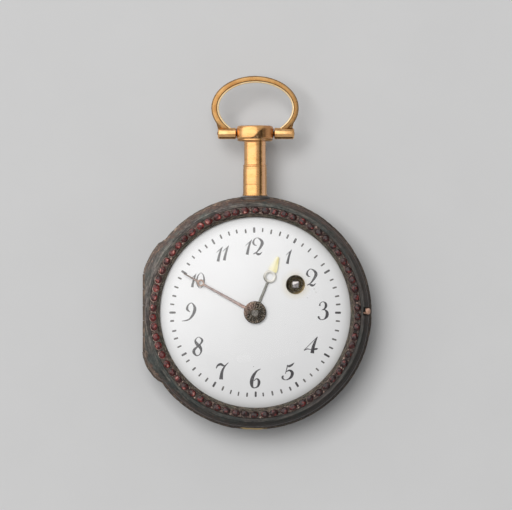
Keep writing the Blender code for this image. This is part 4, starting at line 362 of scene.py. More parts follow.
def bow_look():
    """Gilt brass: brown-gold flats with brighter rubbed edges, and painted shade darker towards the right."""
    n = Nodes("bow_gilt")
    patches = n.noise(320, 6, 0.6)
    n.colour = n.ramp(patches, (36, 275, 132, 42), (50, 355, 184, 62), (64, 435, 242, 90))
    n.coat(n.noise(2200, 3, 0.7), (210, 100, 34), 0.6, 0.72, 0.8)
    worn = n.attribute("worn")
    n.coat(worn, n.ramp(patches, (36, 900, 620, 300), (64, 960, 760, 460)))
    # painted shade: darker towards the right, away from the light
    n.dim(n.span(n.axis("X"), 1.06, 0.84, -9, 9))
    n.coat(n.times(n.attribute("tint"), 0.85), (110, 58, 24))
    n.bump(n.noise(2700, 5, 0.65, SCRATCHES), 0.003)
    return n.done(n.span(worn, 1, 0.35), patches, 0.22, 0.34)


def painted_reflections(n, patches, dots):
    """Painted reflections and shade on the pendant: on the head a coppery side and a dark wedge with pale glints, on
    the neck brown lines, coppery sides and a bright band.
    """
    along = n.axis("X")
    head = n.span(n.axis("Y"), 0, 1, 37.2, 37.4)
    neck = n.minus(1, head)
    # painted reflection: the coppery right side of the head
    n.coat(n.times(head, n.span(along, 0, 0.75, 1.6, 2)), (560, 270, 120))
    # painted reflection: a brown line down the neck
    uneven = n.plus(n.span(along, 0, 1, 0.8, 1.75), n.wavy(patches, -0.08, 0.08))
    line = n.ramp(uneven, (0, 0), (34, 900), (52, 1000), (64, 0))
    n.coat(n.times(neck, line, 0.8), (200, 105, 40))
    # painted shade: coppery sides of the neck
    n.coat(n.times(neck, n.span(n.maths("ABSOLUTE", along), 0, 0.7, 2, 2.5)), (230, 125, 50))
    # painted highlight: a bright band on the neck
    highlight_band = n.times(n.span(along, 0, 0.8, 1.5, 1.62), n.span(along, 1, 0, 2.05, 2.25))
    n.coat(n.times(neck, highlight_band), (960, 560, 330))
    # painted reflection: a dark wedge on the head, with pale glints
    edge = n.plus(n.slant(0.618, -0.786), n.wavy(n.noise(700, 3), -0.15, 0.15))
    wedge = n.times(n.span(edge, 0, 0.94, -30.1, -29.7), n.span(along, 1, 0, 1.5, 1.85))
    n.coat(n.times(head, wedge), n.ramp(dots, (40, 60, 30, 12), (56, 130, 68, 30), (66, 500, 330, 190)))


def hole_look():
    """Brass edge of the winding hole, with painted light: dark at the upper left, where its wall is in shade, bright
    at the lower right, where the light falls on it.
    """
    n = Nodes("hole_brass")
    patches = n.noise(900, 5, 0.65)
    n.colour = n.ramp(patches, (40, 50, 40, 22), (60, 190, 155, 95))
    side = n.plus(n.slant(0.8, -0.6), n.wavy(n.noise(700, 3), -0.5, 0.5))
    # painted light on the lower right of the wall
    n.coat(side, n.ramp(patches, (38, 300, 205, 90), (60, 720, 560, 300)), 3.6, 4.8)
    n.bump(patches, 0.01)
    return n.done(0.7, patches, 0.3, 0.46)


def minute_look():
    """Copper-toned steel, greyer along the stem, redder at the hub and ring, dark at the tip."""
    n = Nodes("minute_metal")
    patches = n.noise(800, 5, 0.6)
    n.colour = n.ramp(patches, (36, 260, 200, 185), (50, 370, 300, 280), (64, 470, 390, 365))
    reach = n.radius()
    n.coat(n.span(reach, 0.7, 0, 2.2, 5.5), (400, 250, 200))
    ring = n.ramp(n.span(reach, 0, 1, 11.5, 14.9), (0, 0), (35, 1000), (65, 1000), (100, 0))
    n.coat(n.times(ring, 0.6), (500, 350, 270))
    n.coat(reach, (210, 160, 135), 14, 16.5, 0.85)
    n.bump(patches, 0.004)
    return n.done(0.75, patches, 0.32, 0.48)


def arbor_look():
    """The winding arbor: bright on the worn end of its square, dark below."""
    n = Nodes("winding_steel")
    patches = n.noise(1100)
    end = n.ramp(patches, (35, 150, 138, 140), (65, 230, 215, 215))
    end = n.mix(n.span(n.slant(-0.35, 1), 0, 1, 3.1, 3.32), end, (620, 580, 560))
    n.colour = n.ramp(patches, (35, 70, 58, 40), (65, 160, 135, 95))
    n.coat(n.axis("Z"), end, 14.22, 14.3)
    n.bump(patches, 0.004)
    return n.done(0.7, patches, 0.3, 0.45)


def plate_look():
    """Gilt brass plate, with painted shade round the winding arbor, where the deep hole keeps the light out."""
    n = Nodes("plate_brass")
    n.colour = n.ramp(n.noise(240, 5, 0.6), (30, 420, 260, 90), (50, 560, 370, 140), (72, 660, 460, 210))
    painted_hole_shade = n.plus(n.radius(HOLE), n.wavy(n.noise(500), -0.4, 0.4))
    # painted shade: darker round the winding arbor, darkest next to it
    n.coat(n.span(painted_hole_shade, 0.93, 0, 2.2, 3.4), (80, 66, 40))
    n.coat(n.span(painted_hole_shade, 0.85, 0, 0.9, 1.5), (22, 18, 12))
    grain = n.noise(2600, 3, 0.7)
    n.bump(grain, 0.01)
    return n.done(0.9, grain, 0.34, 0.52)


def metal(name, scale, dark, mid, light, spots, smooth, rough, bump, metallic=1, stretch=None, painted_marks=None):
    """A worn metal: three tones in patches, a few spots, fine scratches and uneven polish."""
    n = Nodes(name)
    patches = n.noise(scale, 6, 0.6, stretch)
    n.colour = n.ramp(patches, (30, *dark), (50, *mid), (72, *light))
    dots = n.noise(scale * 6, 3, 0.7)
    n.coat(dots, spots, 0.6, 0.72)
    # painted reflections and shade, where given
    if painted_marks:
        painted_marks(n, patches, dots)
    fine = n.noise(scale * 9, 5, 0.65, SCRATCHES)
    n.bump(fine, bump)
    return n.done(metallic, n.plus(n.times(patches, 0.6), n.times(fine, 0.4)), smooth, rough)


# Name, scale of the patches, four tones, least and most roughness, bump, share of metal, stretch, painted marks
METALS = {
    "silver": ("worn_silver", 260, (26, 30, 30), (60, 58, 56), (120, 95, 78), (150, 110, 85), 0.32, 0.58, 0.018, 0.65),
    "silver_in": (
        "inside_silver", 180, (300, 280, 250), (460, 440, 410), (620, 600, 570), (240, 200, 160), 0.25, 0.45, 0.01,
    ),
    "hinge": ("hinge_copper", 700, (45, 34, 28), (105, 78, 60), (230, 160, 115), (50, 46, 42), 0.3, 0.5, 0.01, 0.7),
    "gold": (
        "gilt", 300, (640, 325, 118), (755, 408, 160), (825, 475, 208), (460, 230, 85), 0.22, 0.35, 0.003, 1,
        (1, 3, 1), painted_reflections,
    ),
    "barrel": (
        "barrel_gilt", 420, (560, 290, 110), (740, 420, 175), (880, 580, 290), (300, 150, 55), 0.16, 0.28, 0.004, 1,
        (1, 2.5, 1),
    ),
    "recess": ("gilt_painted_shade", 600, (60, 32, 14), (130, 70, 28), (230, 125, 50), (50, 26, 14), 0.3, 0.46, 0.006),
    "peach": (
        "push_copper", 1500, (260, 140, 90), (420, 250, 180), (600, 400, 310), (200, 110, 80), 0.34, 0.5, 0.01, 0.4,
    ),
    "steel": ("steel", 700, (300, 290, 280), (420, 410, 400), (540, 530, 520), (200, 150, 120), 0.22, 0.38, 0.004),
    "square": (
        "square_steel", 1400, (90, 80, 68), (150, 138, 122), (240, 220, 200), (60, 50, 40), 0.3, 0.45, 0.006, 0.8,
    ),
    "hand_steel": (
        "hand_steel", 900, (165, 162, 145), (225, 222, 200), (285, 280, 255), (90, 75, 60), 0.32, 0.46, 0.004, 0.7,
    ),
    "hand_silver": (
        "hand_silver", 900, (380, 360, 310), (560, 540, 490), (680, 660, 610), (260, 240, 190), 0.28, 0.42, 0.004, 0.6,
    ),
    "blue": ("blued_steel", 500, (16, 30, 110), (30, 55, 200), (70, 85, 260), (90, 60, 90), 0.2, 0.34, 0.003),
    "brass": ("gilt_brass", 260, (520, 340, 120), (680, 470, 190), (780, 580, 280), (380, 240, 100), 0.3, 0.46, 0.01),
}
looks = {
    "bezel": bezel_look(), "rim": rim_look(), "band": band_look(), "collet": collet_look(), "garnet": garnet_look(),
    "enamel": enamel_look(), "ink": ink_look(), "glass": glass_look(), "leaf": leaf_look(), "minute": minute_look(),
    "ring": ring_look(), "boss": boss_look(), "hole": hole_look(), "winding": arbor_look(), "plate": plate_look(),
    "bow_gold": bow_look(), **{key: metal(*row) for key, row in METALS.items()},
}


# ---- mesh helpers. A shape is a pair of verts and faces


def bare(name, shape, *kinds):
    mesh = bpy.data.meshes.new(name)
    mesh.from_pydata(shape[0], [], shape[1])
    for kind in kinds:
        mesh.materials.append(looks[kind])
    piece = bpy.data.objects.new(name, mesh)
    scene.collection.objects.link(piece)
    return piece


def dress(piece, body, slot, instead=True, sharp=40):
    """Put a piece on its body. With instead it is shown in place of the slot's node."""
    mesh = piece.data
    work = bmesh.new()
    work.from_mesh(mesh)
    bmesh.ops.remove_doubles(work, verts=work.verts, dist=0.0002 * MM)
    bmesh.ops.recalc_face_normals(work, faces=work.faces)
    work.to_mesh(mesh)
    work.free()
    mesh.polygons.foreach_set("use_smooth", [True] * len(mesh.polygons))
    mesh.set_sharp_from_angle(angle=radians(sharp))
    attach(piece, body)
    if instead:
        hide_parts(slot)
    return piece


def add_piece(name, shape, look, body, slot, instead=False, sharp=35, kinds=None, **values):
    """Make a piece, with a number for each vert and, with kinds, one of its looks for each face."""
    piece = bare(name, shape, *look.split())
    for key, numbers in values.items():
        piece.data.attributes.new(key, "FLOAT", "POINT").data.foreach_set("value", numbers)
    if kinds:
        piece.data.polygons.foreach_set("material_index", kinds)
    return dress(piece, body, slot, instead, sharp)


def mm(points):
    return [(a * MM, b * MM) for a, b in points]


def softened(outline, radius, steps):
    """Round the corners of an outline, where its edges leave room. It is open if it starts on the axis."""
    points = [Vector(point) for point in mm(outline)]
    out = []
    for k, here in enumerate(points):
        if outline[0][0] == 0 and k in (0, len(points) - 1):
            out.append(tuple(here))
            continue
        before = points[k - 1] - here
        after = points[(k + 1) % len(points)] - here
        reach = min(radius * MM, before.length * 0.45, after.length * 0.45)
        first = here + before.normalized() * reach
        last = here + after.normalized() * reach
        for t in [j / steps for j in range(steps + 1)]:
            out.append(tuple(first.lerp(here, t).lerp(here.lerp(last, t), t)))
    return out


def round_angles(steps):
    return [TURN * k / steps for k in range(steps)]


def lathe(profile, angles, place):
    """Turn a profile round an axis, in metres. It is closed unless it starts on the axis.

    With fewer than 32 angles the last wedge stays open.
    """
    verts, faces, rows = [], [], []
    count = len(angles)
    for r, z in profile:
        if r < 1e-9:
            rows.append([len(verts)] * count)
            verts.append(place(0, z, 0))
        else:
            rows.append(range(len(verts), len(verts) + count))
            verts += [place(r, z, a) for a in angles]
    pairs = list(zip(rows, rows[1:])) + ([(rows[-1], rows[0])] if profile[0][0] > 1e-9 else [])
    for low, high in pairs:
        for j in range(count if count > 31 else count - 1):
            k = (j + 1) % count
            face = list(dict.fromkeys((low[j], low[k], high[k], high[j])))
            if len(face) > 2:
                faces.append(face)
    return verts, faces


def turn(points, steps, place):
    """Turn a profile given in millimetres."""
    return lathe(mm(points), round_angles(steps), place)


def rod(r, first, last, steps, place):
    return turn([(0, first), (r, first), (r, last), (0, last)], steps, place)


def about_z(x=0, y=0):
    return lambda r, z, a: (x + r * cos(a), y + r * sin(a), z)


def about_y(x=0):
    return lambda r, y, a: (x + r * cos(a), y, HINGE_Z + r * sin(a))


def about_x(y, z0=HINGE_Z):
    return lambda r, x, a: (x, y + r * cos(a), z0 + r * sin(a))


def merged(*shapes):
    verts, faces = [], []
    for some_verts, some_faces in shapes:
        faces += [[len(verts) + k for k in face] for face in some_faces]
        verts += some_verts
    return verts, faces


def loft(verts, count):
    """A bar from rings of count verts each, with both ends closed."""
    last = len(verts) - count
    faces = []
    for a in range(0, last, count):
        for j in range(count):
            i = (j + 1) % count
            faces.append([a + j, a + i, a + count + i, a + count + j])
    return verts, faces + [list(range(count))[::-1], list(range(last, last + count))]


def prism(outline, low, high):
    """A flat plate between two heights in millimetres, from an outline in metres."""
    work = bmesh.new()
    points = [work.verts.new((x, y, low * MM)) for x, y in outline]
    edges = [work.edges.new((points[k - 1], points[k])) for k in range(len(points))]
    bmesh.ops.triangle_fill(work, edges=edges, use_beauty=True)
    made = bmesh.ops.extrude_face_region(work, geom=list(work.faces))
    tops = [v for v in made["geom"] if isinstance(v, bmesh.types.BMVert)]
    bmesh.ops.translate(work, verts=tops, vec=(0, 0, high * MM - low * MM))
    work.verts.index_update()
    shape = [tuple(v.co) for v in work.verts], [[v.index for v in face.verts] for face in work.faces]
    work.free()
    return shape


def box(x0, x1, y0, y1, z0, z1):
    verts = [(x * MM, y * MM, z * MM) for x in (x0, x1) for y in (y0, y1) for z in (z0, z1)]
    return verts, [(0, 1, 3, 2), (4, 6, 7, 5), (0, 4, 5, 1), (2, 3, 7, 6), (0, 2, 6, 4), (1, 5, 7, 3)]


def cut(piece, *shapes):
    """Cut shapes out of a piece, one after another."""
    for shape in shapes:
        tool = bare("cutter", shape)
        work = bmesh.new()
        for target in (tool.data, piece.data):
            work.from_mesh(target)
            bmesh.ops.recalc_face_normals(work, faces=work.faces)
            work.to_mesh(target)
            work.clear()
        work.free()
        step = piece.modifiers.new("cut", "BOOLEAN")
        step.operation = "DIFFERENCE"
        step.solver = "EXACT"
        step.object = tool
        view = bpy.context.evaluated_depsgraph_get()
        result = bpy.data.meshes.new_from_object(piece.evaluated_get(view))
        piece.modifiers.clear()
        piece.data = result
        bpy.data.objects.remove(tool)


def two_looks(piece, first, second, test):
    """Give the second look to the faces that pass a test, and the first to the others."""
    piece.data.materials.clear()
    for kind in (first, second):
        piece.data.materials.append(looks[kind])
    for face in piece.data.polygons:
        face.material_index = int(test(face))


# ---- case

# Swelling of the outline beside the hinge, by degrees from 9 o'clock: above and below it
UPPER = (
    (19, 0.4), (23, 0.58), (30, 0.64), (35.5, 0.5), (38, 0.08), (39.6, -0.14), (43, -0.08), (56, -0.02), (80, 0.04),
)
LOWER = (
    (19, 0.56), (22, 0.8), (26, 0.94), (31.6, 0.74), (34.1, 0.46), (37.2, -0.06), (40, 0), (46, 0.06), (80, 0.1),
)
# Degrees from 9 o'clock where the outline bends most, given points of their own
KINKS = (19.2, 19.45, 19.7, 20, 20.4, 20.9, 35, 35.7, 36.3, 37, 37.6, 38.3, 39, 39.8, 40.6)
CASE_ANGLES = sorted(set(round_angles(300)) | {pi + s * radians(d) for s in (1, -1) for d in KINKS})


def shoulder(off):
    table = UPPER if off < 0 else LOWER
    off = abs(off)
    if off < table[0][0]:
        return table[0][1] * MM
    for (low, a), (high, b) in zip(table, table[1:]):
        if off <= high:
            t = (off - low) / (high - low)
            return (a + (b - a) * t * t * (3 - 2 * t)) * MM
    return 0


def case_point(flat, inner=inf, wear=0.02, chips=0, middle=Vector((0, 0))):
    """Place a point of the case: pressed flat at the hinge and, outside inner, swollen beside it and worn."""
    inner, flat = inner * MM, flat * MM

    def place(r, z, a):
        off = degrees(remainder(a - pi, TURN))
        shift = middle
        if r > inner:
            r += shoulder(off) * min(1, (r - inner) / (1.2 * MM))
            shift = max(0, 1 - (r - inner) / (1 * MM)) * middle
        x, y = r * cos(a), r * sin(a)
        if r > inner:
            dent = noise.noise(Vector((x, y, z)) * 420) * wear * MM
            if r > 24.3 * MM and x > -0.02:
                dent -= max(0, noise.noise(Vector((x, y, 0.004)) * 1300) - 0.1) * chips * MM
            x, y = x * (1 + dent / r), y * (1 + dent / r)
        x, y = x + shift.x, y + shift.y
        if abs(y) < FLAT_HALF and x < 0:
            x = max(x, -flat)
        return (x, y, z)

    return place


def build_bezel():
    slope = [
        (22.62, 16.5), (22.74, 16.56), (22.98, 16.6), (23.12, 16.64), (23.22, 16.7), (23.32, 16.62), (23.42, 16.5),
        (23.7, 16.26), (23.92, 15.96), (24.06, 15.66), (24.12, 15.62), (24.18, 15.5), (24.32, 15), (24.42, 14.5),
        (24.46, 14.42), (24.56, 14.36), (24.6, 13.9), (24.62, 13.2), (24.6, 13.02), (24.5, 12.98), (21.95, 12.98),
        (21.72, 14.3), (20.27, 14.34), (20.22, 15), (20.3, 15.22), (20.44, 15.28), (21.12, 15.28), (21.15, 15.9),
        (22.56, 15.9), (22.58, 16.44),
    ]
    place = case_point(23.5, 23, 0.025, 0.13, SIGHT)
    piece = bare("bezel_ring", lathe(softened(slope, 0.05, 2), CASE_ANGLES, place), "bezel")
    pendant, bore = rod(3.7, 23.4, 26.5, 48, about_y()), rod(0.34, 22.2, 23.5, 24, about_x(0, PUSH_Z))
    cut(piece, pendant, box(23.1, 27, -0.5, 1.27, 14.5, 17.5), bore)
    two_looks(piece, "bezel", "rim", lambda face: (face.center.xy - SIGHT).length < 22.6 * MM)
    dress(piece, "bezel", "bezel")


def knuckle(first, last):
    """One hinge barrel with chamfered ends."""
    profile = [(0, first), (0.61, first), (0.7, first + 0.09), (0.7, last - 0.09), (0.61, last), (0, last)]
    return turn(profile, 36, about_y(HINGE_X))


def build_hinge():
    """The three sets of knuckles at 9 o'clock, two of them with the tabs that carry them."""
    parts = [knuckle(5.14, 8.3), knuckle(-8.3, -5.14)]
    add_piece("hinge_of_band", merged(*parts), "hinge", "case", "case_band")
    parts = []
    for first, last in ((1.68, 5.1), (-5.1, -1.68)):
        parts += [knuckle(first, last), box(-23.5, -22.66, first + 0.05, last - 0.05, 11.9, 13.2)]
    add_piece("hinge_of_bezel", merged(*parts), "hinge", "bezel", "bezel")
    parts = [knuckle(-1.64, 1.64), box(-23.1, -22.5, -1.55, 1.55, 10.2, 11.7)]
    add_piece("hinge_of_cover", merged(*parts), "hinge", "cover", "back_cover")


def build_band():
    outline = [
        (21.9, 12.88), (24.7, 12.88), (24.93, 12.7), (25, 12.4), (24.9, 12.25), (24.9, 11.35), (25, 11.2),
        (24.93, 10.86), (24.7, 10.68), (23.5, 10.68), (23.5, 9.6), (20.9, 9.58), (20.9, 10.73), (21.9, 10.73),
    ]

    def place(r, z, a, outer=case_point(23.5, 23.75, 0.025, 0.15), skirt=case_point(22.15)):
        return (outer if r > 23.6 * MM else skirt)(r, z, a)

    piece = bare("band_ring", lathe(softened(outline, 0.08, 3), CASE_ANGLES, place), "band")
    cut(piece, box(-30, -22.35, -5.15, 5.15, 10.63, 13.88))
    dress(piece, "case", "case_band")
    collar = [(0, 23.7), (3.3, 23.7), (3.42, 24.05), (3.4, 24.55), (3.2, 24.8), (2.85, 24.94), (0, 24.95)]
    shape = lathe(softened(collar, 0.12, 3), round_angles(64), about_y())
    add_piece("collar", shape, "silver", "case", "case_band")


def dome(radius, height, power, steps):
    """Radius and rise of a dome, from its rim to its top."""
    angles = [TURN / 4 * k / steps for k in range(steps + 1)]
    return [(radius * cos(a) ** (2 / power), height * sin(a) ** (2 / power)) for a in angles]


def build_cover():
    """The back: a thin domed bowl with a turned line near its edge."""
    outside, inside = [
        [(r, 8.5 - up) for r, up in dome(radius, height, 3, steps) if r > 5]
        for radius, height, steps in ((24.7, 8.5, 40), (24.1, 7.9, 36))
    ]
    hollow = mm([(0, 0.6), (2.5, 0.6), (5, 0.6), *reversed(inside), (24.1, 10.58)])
    lip = [(24.55, 10.58), (24.7, 10.43), (24.7, 9.93), (24.6, 9.86), (24.6, 9.76), (24.7, 9.68)]

    def place(r, z, a, outer=case_point(23.1), inner=case_point(22.5)):
        return (inner if (r, z) in hollow else outer)(r, z, a)

    profile = hollow + mm(lip + outside + [(5, 0), (2.5, 0), (0, 0)])
    piece = bare("cover_bowl", lathe(profile, CASE_ANGLES, place), "silver")
    cut(piece, rod(3.7, 23.3, 26.5, 48, about_y()))
    middle = Vector((0, 0, 14 * MM))
    two_looks(
        piece, "silver", "silver_in",
        lambda face: face.normal.dot(middle - face.center) > 0 and face.center.z < 10.4 * MM,
    )
    dress(piece, "cover", "back_cover")


# ---- stones and crystal

STONES = 66
GIRDLE = 16


def stone(x, y, z, size, spin, tilt):
    """A hand-cut round stone: girdle, uneven crown facets and table."""
    rings = (0.54, -0.16, 8, 0.5), (1, 0, GIRDLE, 0), (1, 0.035, GIRDLE, 0), (0.74, 0.17, 8, 0.5), (0.42, 0.25, 8, 0)
    verts, rows = [], []
    lean = Matrix.Rotation(tilt[0], 3, "X") @ Matrix.Rotation(tilt[1], 3, "Y")
    for r, h, count, shift in rings:
        rows.append(range(len(verts), len(verts) + count))
        for k in range(count):
            a = spin + TURN * (k + shift) / count
            far = r * size
            if h > 0.1:
                far *= uniform(0.84, 1.12)
                a += uniform(-0.14, 0.14)
            point = lean @ Vector((far * cos(a), far * sin(a), h)) * MM
            verts.append((x + point.x, y + point.y, z + point.z))
    foot, low, girdle, crown, table = rows
    faces = [list(reversed(foot))]
    for k in range(8):
        a, b, c = 2 * k, 2 * k + 1, (2 * k + 2) % GIRDLE
        faces += [[foot[k], low[b], low[a]], [foot[k], low[c], low[b]], [foot[k], foot[(k + 1) % 8], low[c]]]
    for k in range(GIRDLE):
        i = (k + 1) % GIRDLE
        faces.append([low[k], low[i], girdle[i], girdle[k]])
    for k in range(8):
        i = (k + 1) % 8
        a, b, c = 2 * k, 2 * k + 1, (2 * k + 2) % GIRDLE
        faces += [[girdle[a], girdle[b], crown[k]], [girdle[b], girdle[c], crown[k]], [girdle[c], crown[i], crown[k]]]
        faces += [[crown[k], crown[i], table[i]], [crown[k], table[i], table[k]]]
    return verts, faces + [list(table)]


def drawn(shape, x, y, way):
    """Draw a shape out a little along the ring."""
    out = []
    for px, py, pz in shape[0]:
        more = (Vector((px, py)) - Vector((x, y))).dot(way) * 0.15
        out.append((px + more * way.x, py + more * way.y, pz))
    return out, shape[1]


def build_stones():
    stones, collets, tints, worn = [], [], [], []
    for k in range(STONES):
        a = TURN * (k + 0.5) / STONES + uniform(-0.006, 0.006)
        r = (21.83 + uniform(-0.04, 0.04)) * MM
        x, y = SIGHT.x + r * cos(a), SIGHT.y + r * sin(a)
        z = (16.38 + uniform(-0.04, 0.05)) * MM
        size = uniform(0.69, 0.76)
        lean = (uniform(-0.14, 0.14), uniform(-0.14, 0.14))
        along = Vector((-sin(a), cos(a)))
        stones.append(drawn(stone(x, y, z, size, uniform(0, TURN), lean), x, y, along))
        # painted light: the stones on the left of the ring are painted redder and with more painted glints, and their
        # collets with paler painted rims, than those on the right, away from the light
        side = degrees(a) % 360
        lit_side = 95 < side < 235
        left = 140 < side < 205
        tint = uniform(0.3, 0.64) if lit_side else uniform(0.06, 0.38)
        glint = uniform(0, TURN)
        strong = rng.random() > (0.35 if lit_side else 0.72)
        for j, vert in enumerate(stones[-1][0]):
            way = atan2(vert[1] - y, vert[0] - x)
            value = tint + uniform(-0.24, 0.2)
            upper = j >= 8 + 2 * GIRDLE
            # painted glints: some facets painted pale
            if not lit_side and upper and rng.random() < 0.2:
                value = uniform(0.6, 0.9)
            if strong and upper and cos(way - glint) > 0.62:
                value = uniform(0.84, 1) if lit_side else uniform(0.66, 0.88)
            tints.append(min(max(value, 0), 1))
        # painted highlight: each collet's rim is paler on its side towards the lower left, most on the left of the
        # ring
        rim = uniform(0.55, 1) if left and rng.random() > 0.2 else rng.choice((0.05, 0.15, 0.3, 0.5))
        edge = size + (0.11 if left else 0.06)
        ring = [
            (size + 0.01, -0.25), (edge, -0.3), (edge, 0.03), (edge - 0.015, 0.09), (size + 0.02, 0.11),
            (size + 0.004, 0.06),
        ]
        collet = lathe([(s * MM, z + up * MM) for s, up in ring], round_angles(20), about_z(x, y))
        collets.append(drawn(collet, x, y, along))
        for vert in collets[-1][0]:
            facing = ((vert[0] - x) * -0.8 + (vert[1] - y) * -0.6) / (0.7 * MM)
            worn.append(max(0, min(1, rim * (0.45 + 0.85 * facing))))
    shape = merged(*stones)
    piece = add_piece("garnets", shape, "garnet", "bezel", "stone_ring", True, 12, tint=tints)
    piece.data.polygons.foreach_set("use_smooth", [False] * len(piece.data.polygons))
    grains = []
    for k in range(STONES):
        a = TURN * k / STONES
        for r in (21.34, 21.86, 22.36):
            r = (r + uniform(-0.05, 0.05)) * MM
            size = uniform(0.14, 0.24) * MM
            top = (16.34 + uniform(0, 0.08)) * MM
            foot = top - 0.3 * MM
            bead = [(0, top + size * 0.5), (size * 0.55, top + size * 0.4), (size, top), (size, foot), (0, foot)]
            place = about_z(SIGHT.x + r * cos(a), SIGHT.y + r * sin(a))
            grains.append(lathe(bead, round_angles(10), place))
    strip = [(21.1, 15.94), (22.54, 15.94), (22.55, 16.44), (22.42, 16.46), (21.32, 16.24), (21.22, 16.28)]
    strip.append((21.12, 16.26))
    strip = lathe(softened(strip, 0.03, 2), round_angles(180), about_z(*SIGHT))
    for grain in grains:
        worn += [rng.choice((0, 0.1, 0.3, 0.6))] * len(grain[0])
    for x, y, z in strip[0]:
        worn.append(0.16 if hypot(x - SIGHT.x, y - SIGHT.y) < 21.25 * MM and z > 16.2 * MM else 0)
    add_piece("collets", merged(*collets, *grains, strip), "collet", "bezel", "stone_ring", worn=worn)


def build_crystal():
    outside, inside = [
        [(r, 15.83 + up) for r, up in dome(radius, height, 2.4, 32)] for radius, height in ((21.03, 2.6), (20.43, 2))
    ]
    profile = outside[::-1] + [(21.03, 15.4), (20.96, 15.33), (20.5, 15.33), (20.43, 15.4)] + inside
    add_piece("crystal_dome", turn(profile, 160, about_z(*SIGHT)), "glass", "bezel", "crystal", True, 50)


# ---- dial


def dial_height(x, y):
    return DIAL_EDGE + DIAL_RISE * (1 - (x * x + y * y) / DIAL_R ** 2)


def build_dial():
    rows = 26
    front = [1.62 * MM + (DIAL_R - 0.12 * MM - 1.62 * MM) * k / rows for k in range(rows + 1)]
    front = [(r, dial_height(r, 0)) for r in front]
    lip = [(DIAL_R - 0.03 * MM, DIAL_EDGE - 0.05 * MM), (DIAL_R, DIAL_EDGE - 0.16 * MM)]
    back = [(r, z - 0.78 * MM) for r, z in reversed(front)]
    hole = [(1.55 * MM, dial_height(0, 0) - 0.2 * MM), (1.56 * MM, dial_height(0, 0) - 0.06 * MM)]
    piece = bare("dial_face", lathe(front + lip + back + hole, round_angles(160), about_z()), "enamel")
    cut(piece, rod(2.06, 10, 20, 72, about_z(*WIND)))
    dress(piece, "case", "dial")

    def rim(r, z, a):
        x, y = WIND.x + r * cos(a), WIND.y + r * sin(a)
        return (x, y, dial_height(x, y) + z)

    # the enamel's rolled lip round the winding hole, and the brass funnel below it
    lip = [(2.02, -0.3), (2.26, -0.3), (2.3, -0.02), (2.24, 0.035), (2.15, 0.055), (2.07, 0.03), (2.02, -0.05)]
    add_piece("hole_lip", turn(lip, 72, rim), "enamel", "case", "dial", sharp=60)
    edge = [(1.56, -0.78), (2.05, -0.78), (2.05, -0.12), (2, -0.05), (1.94, -0.1), (1.66, -0.58)]
    add_piece("hole_edge", turn(edge, 72, rim), "hole", "case", "dial", sharp=60)


def smooth_path(points, steps):
    """A smooth line through given points with a pen width at each."""
    out = []
    count = len(points)
    for k in range(count - 1):
        around = points[max(k - 1, 0)], points[k], points[k + 1], points[min(k + 2, count - 1)]
        for t in [j / steps for j in range(steps)]:
            out.append(tuple(
                0.5 * (2 * b + (c - a) * t + (2 * a - 5 * b + 4 * c - d) * t * t + (3 * b - a - 3 * c + d) * t ** 3)
                for a, b, c, d in zip(*around)
            ))
    return out + [tuple(points[-1])]


INK_ABOVE, INK_BELOW = 0.012 * MM, -0.03 * MM
THINNEST = 0.03 * MM


def pen(points):
    """A line of ink lying on the dial's dome: points are (x, y, width) in metres."""
    verts = []
    for k, (x, y, w) in enumerate(points):
        ahead = Vector(points[min(k + 1, len(points) - 1)][:2]) - Vector(points[max(k - 1, 0)][:2])
        side = Vector((-ahead.y, ahead.x)).normalized() * max(w, THINNEST) / 2
        for s, h in ((1, INK_ABOVE), (-1, INK_ABOVE), (-1, INK_BELOW), (1, INK_BELOW)):
            px, py = x + s * side.x, y + s * side.y
            verts.append((px, py, dial_height(px, py) + h))
    return loft(verts, 4)


# Pen strokes of each numeral: x, y and pen width of each point, in hundredths of its height
DIGITS = {
    "0": ["27 100 2, 9 78 6, 2 45 9, 9 12 5, 25 0 2, 42 20 6, 49 54 9, 43 86 5, 27 100 2"],
    "1": ["43 101 3, 34 82 8, 25 56 11, 18 28 13, 13 2 15", "40 96 3, 22 79 4, 3 62 2"],
    "2": [
        "24 55 2, 12 58 6, 4 71 9, 11 90 5, 27 99 3, 46 88 9, 56 69 14, 44 42 10, 24 17 5, 5 5 3",
        "5 6 3, 16 12 5, 32 5 11, 43 6 7, 55 17 2",
    ],
    "3": [
        "9 77 8, 13 92 4, 28 100 3, 42 91 9, 44 75 11, 35 61 6, 20 54 2",
        "20 54 2, 38 55 5, 50 41 12, 49 20 13, 34 3 5, 16 1 4, 4 11 8, 4 20 7",
    ],
    "4": [
        "80 99 3, 66 70 10, 55 38 14, 49 3 17",
        "78 98 2, 39 58 3, 1 21 2",
        "1 20 4, 20 28 5, 42 25 3, 70 28 9, 82 30 3",
    ],
    "5": [
        "32 87 3, 42 80 10, 58 87 9, 72 100 2",
        "34 86 5, 29 64 4, 21 36 3",
        "26 48 3, 45 56 8, 61 43 14, 56 20 12, 38 5 6, 20 1 3, 6 9 8, 5 19 9, 11 26 3",
    ],
    "6": ["53 101 2, 32 88 7, 14 62 13, 6 33 15, 9 9 10, 22 1 4, 39 10 8, 45 30 12, 40 45 8, 29 48 4, 18 38 3"],
    "7": ["1 66 4, 9 82 8, 26 90 12, 43 82 8, 52 79 3", "72 100 3, 54 82 6, 39 58 10, 32 32 14, 29 2 18"],
    "8": [
        "32 99 2, 44 90 6, 49 79 9, 40 63 6, 23 47 7, 8 33 11, 6 17 11, 20 2 5, 36 8 4, 44 27 8, 37 47 13, 21 "
        "63 13, 13 79 7, 20 93 3, 32 99 2",
    ],
    "9": ["43 50 3, 28 64 10, 34 87 6, 52 98 3, 67 80 10, 69 60 13, 60 35 11, 42 12 7, 22 3 5, 0 0 2"],
}
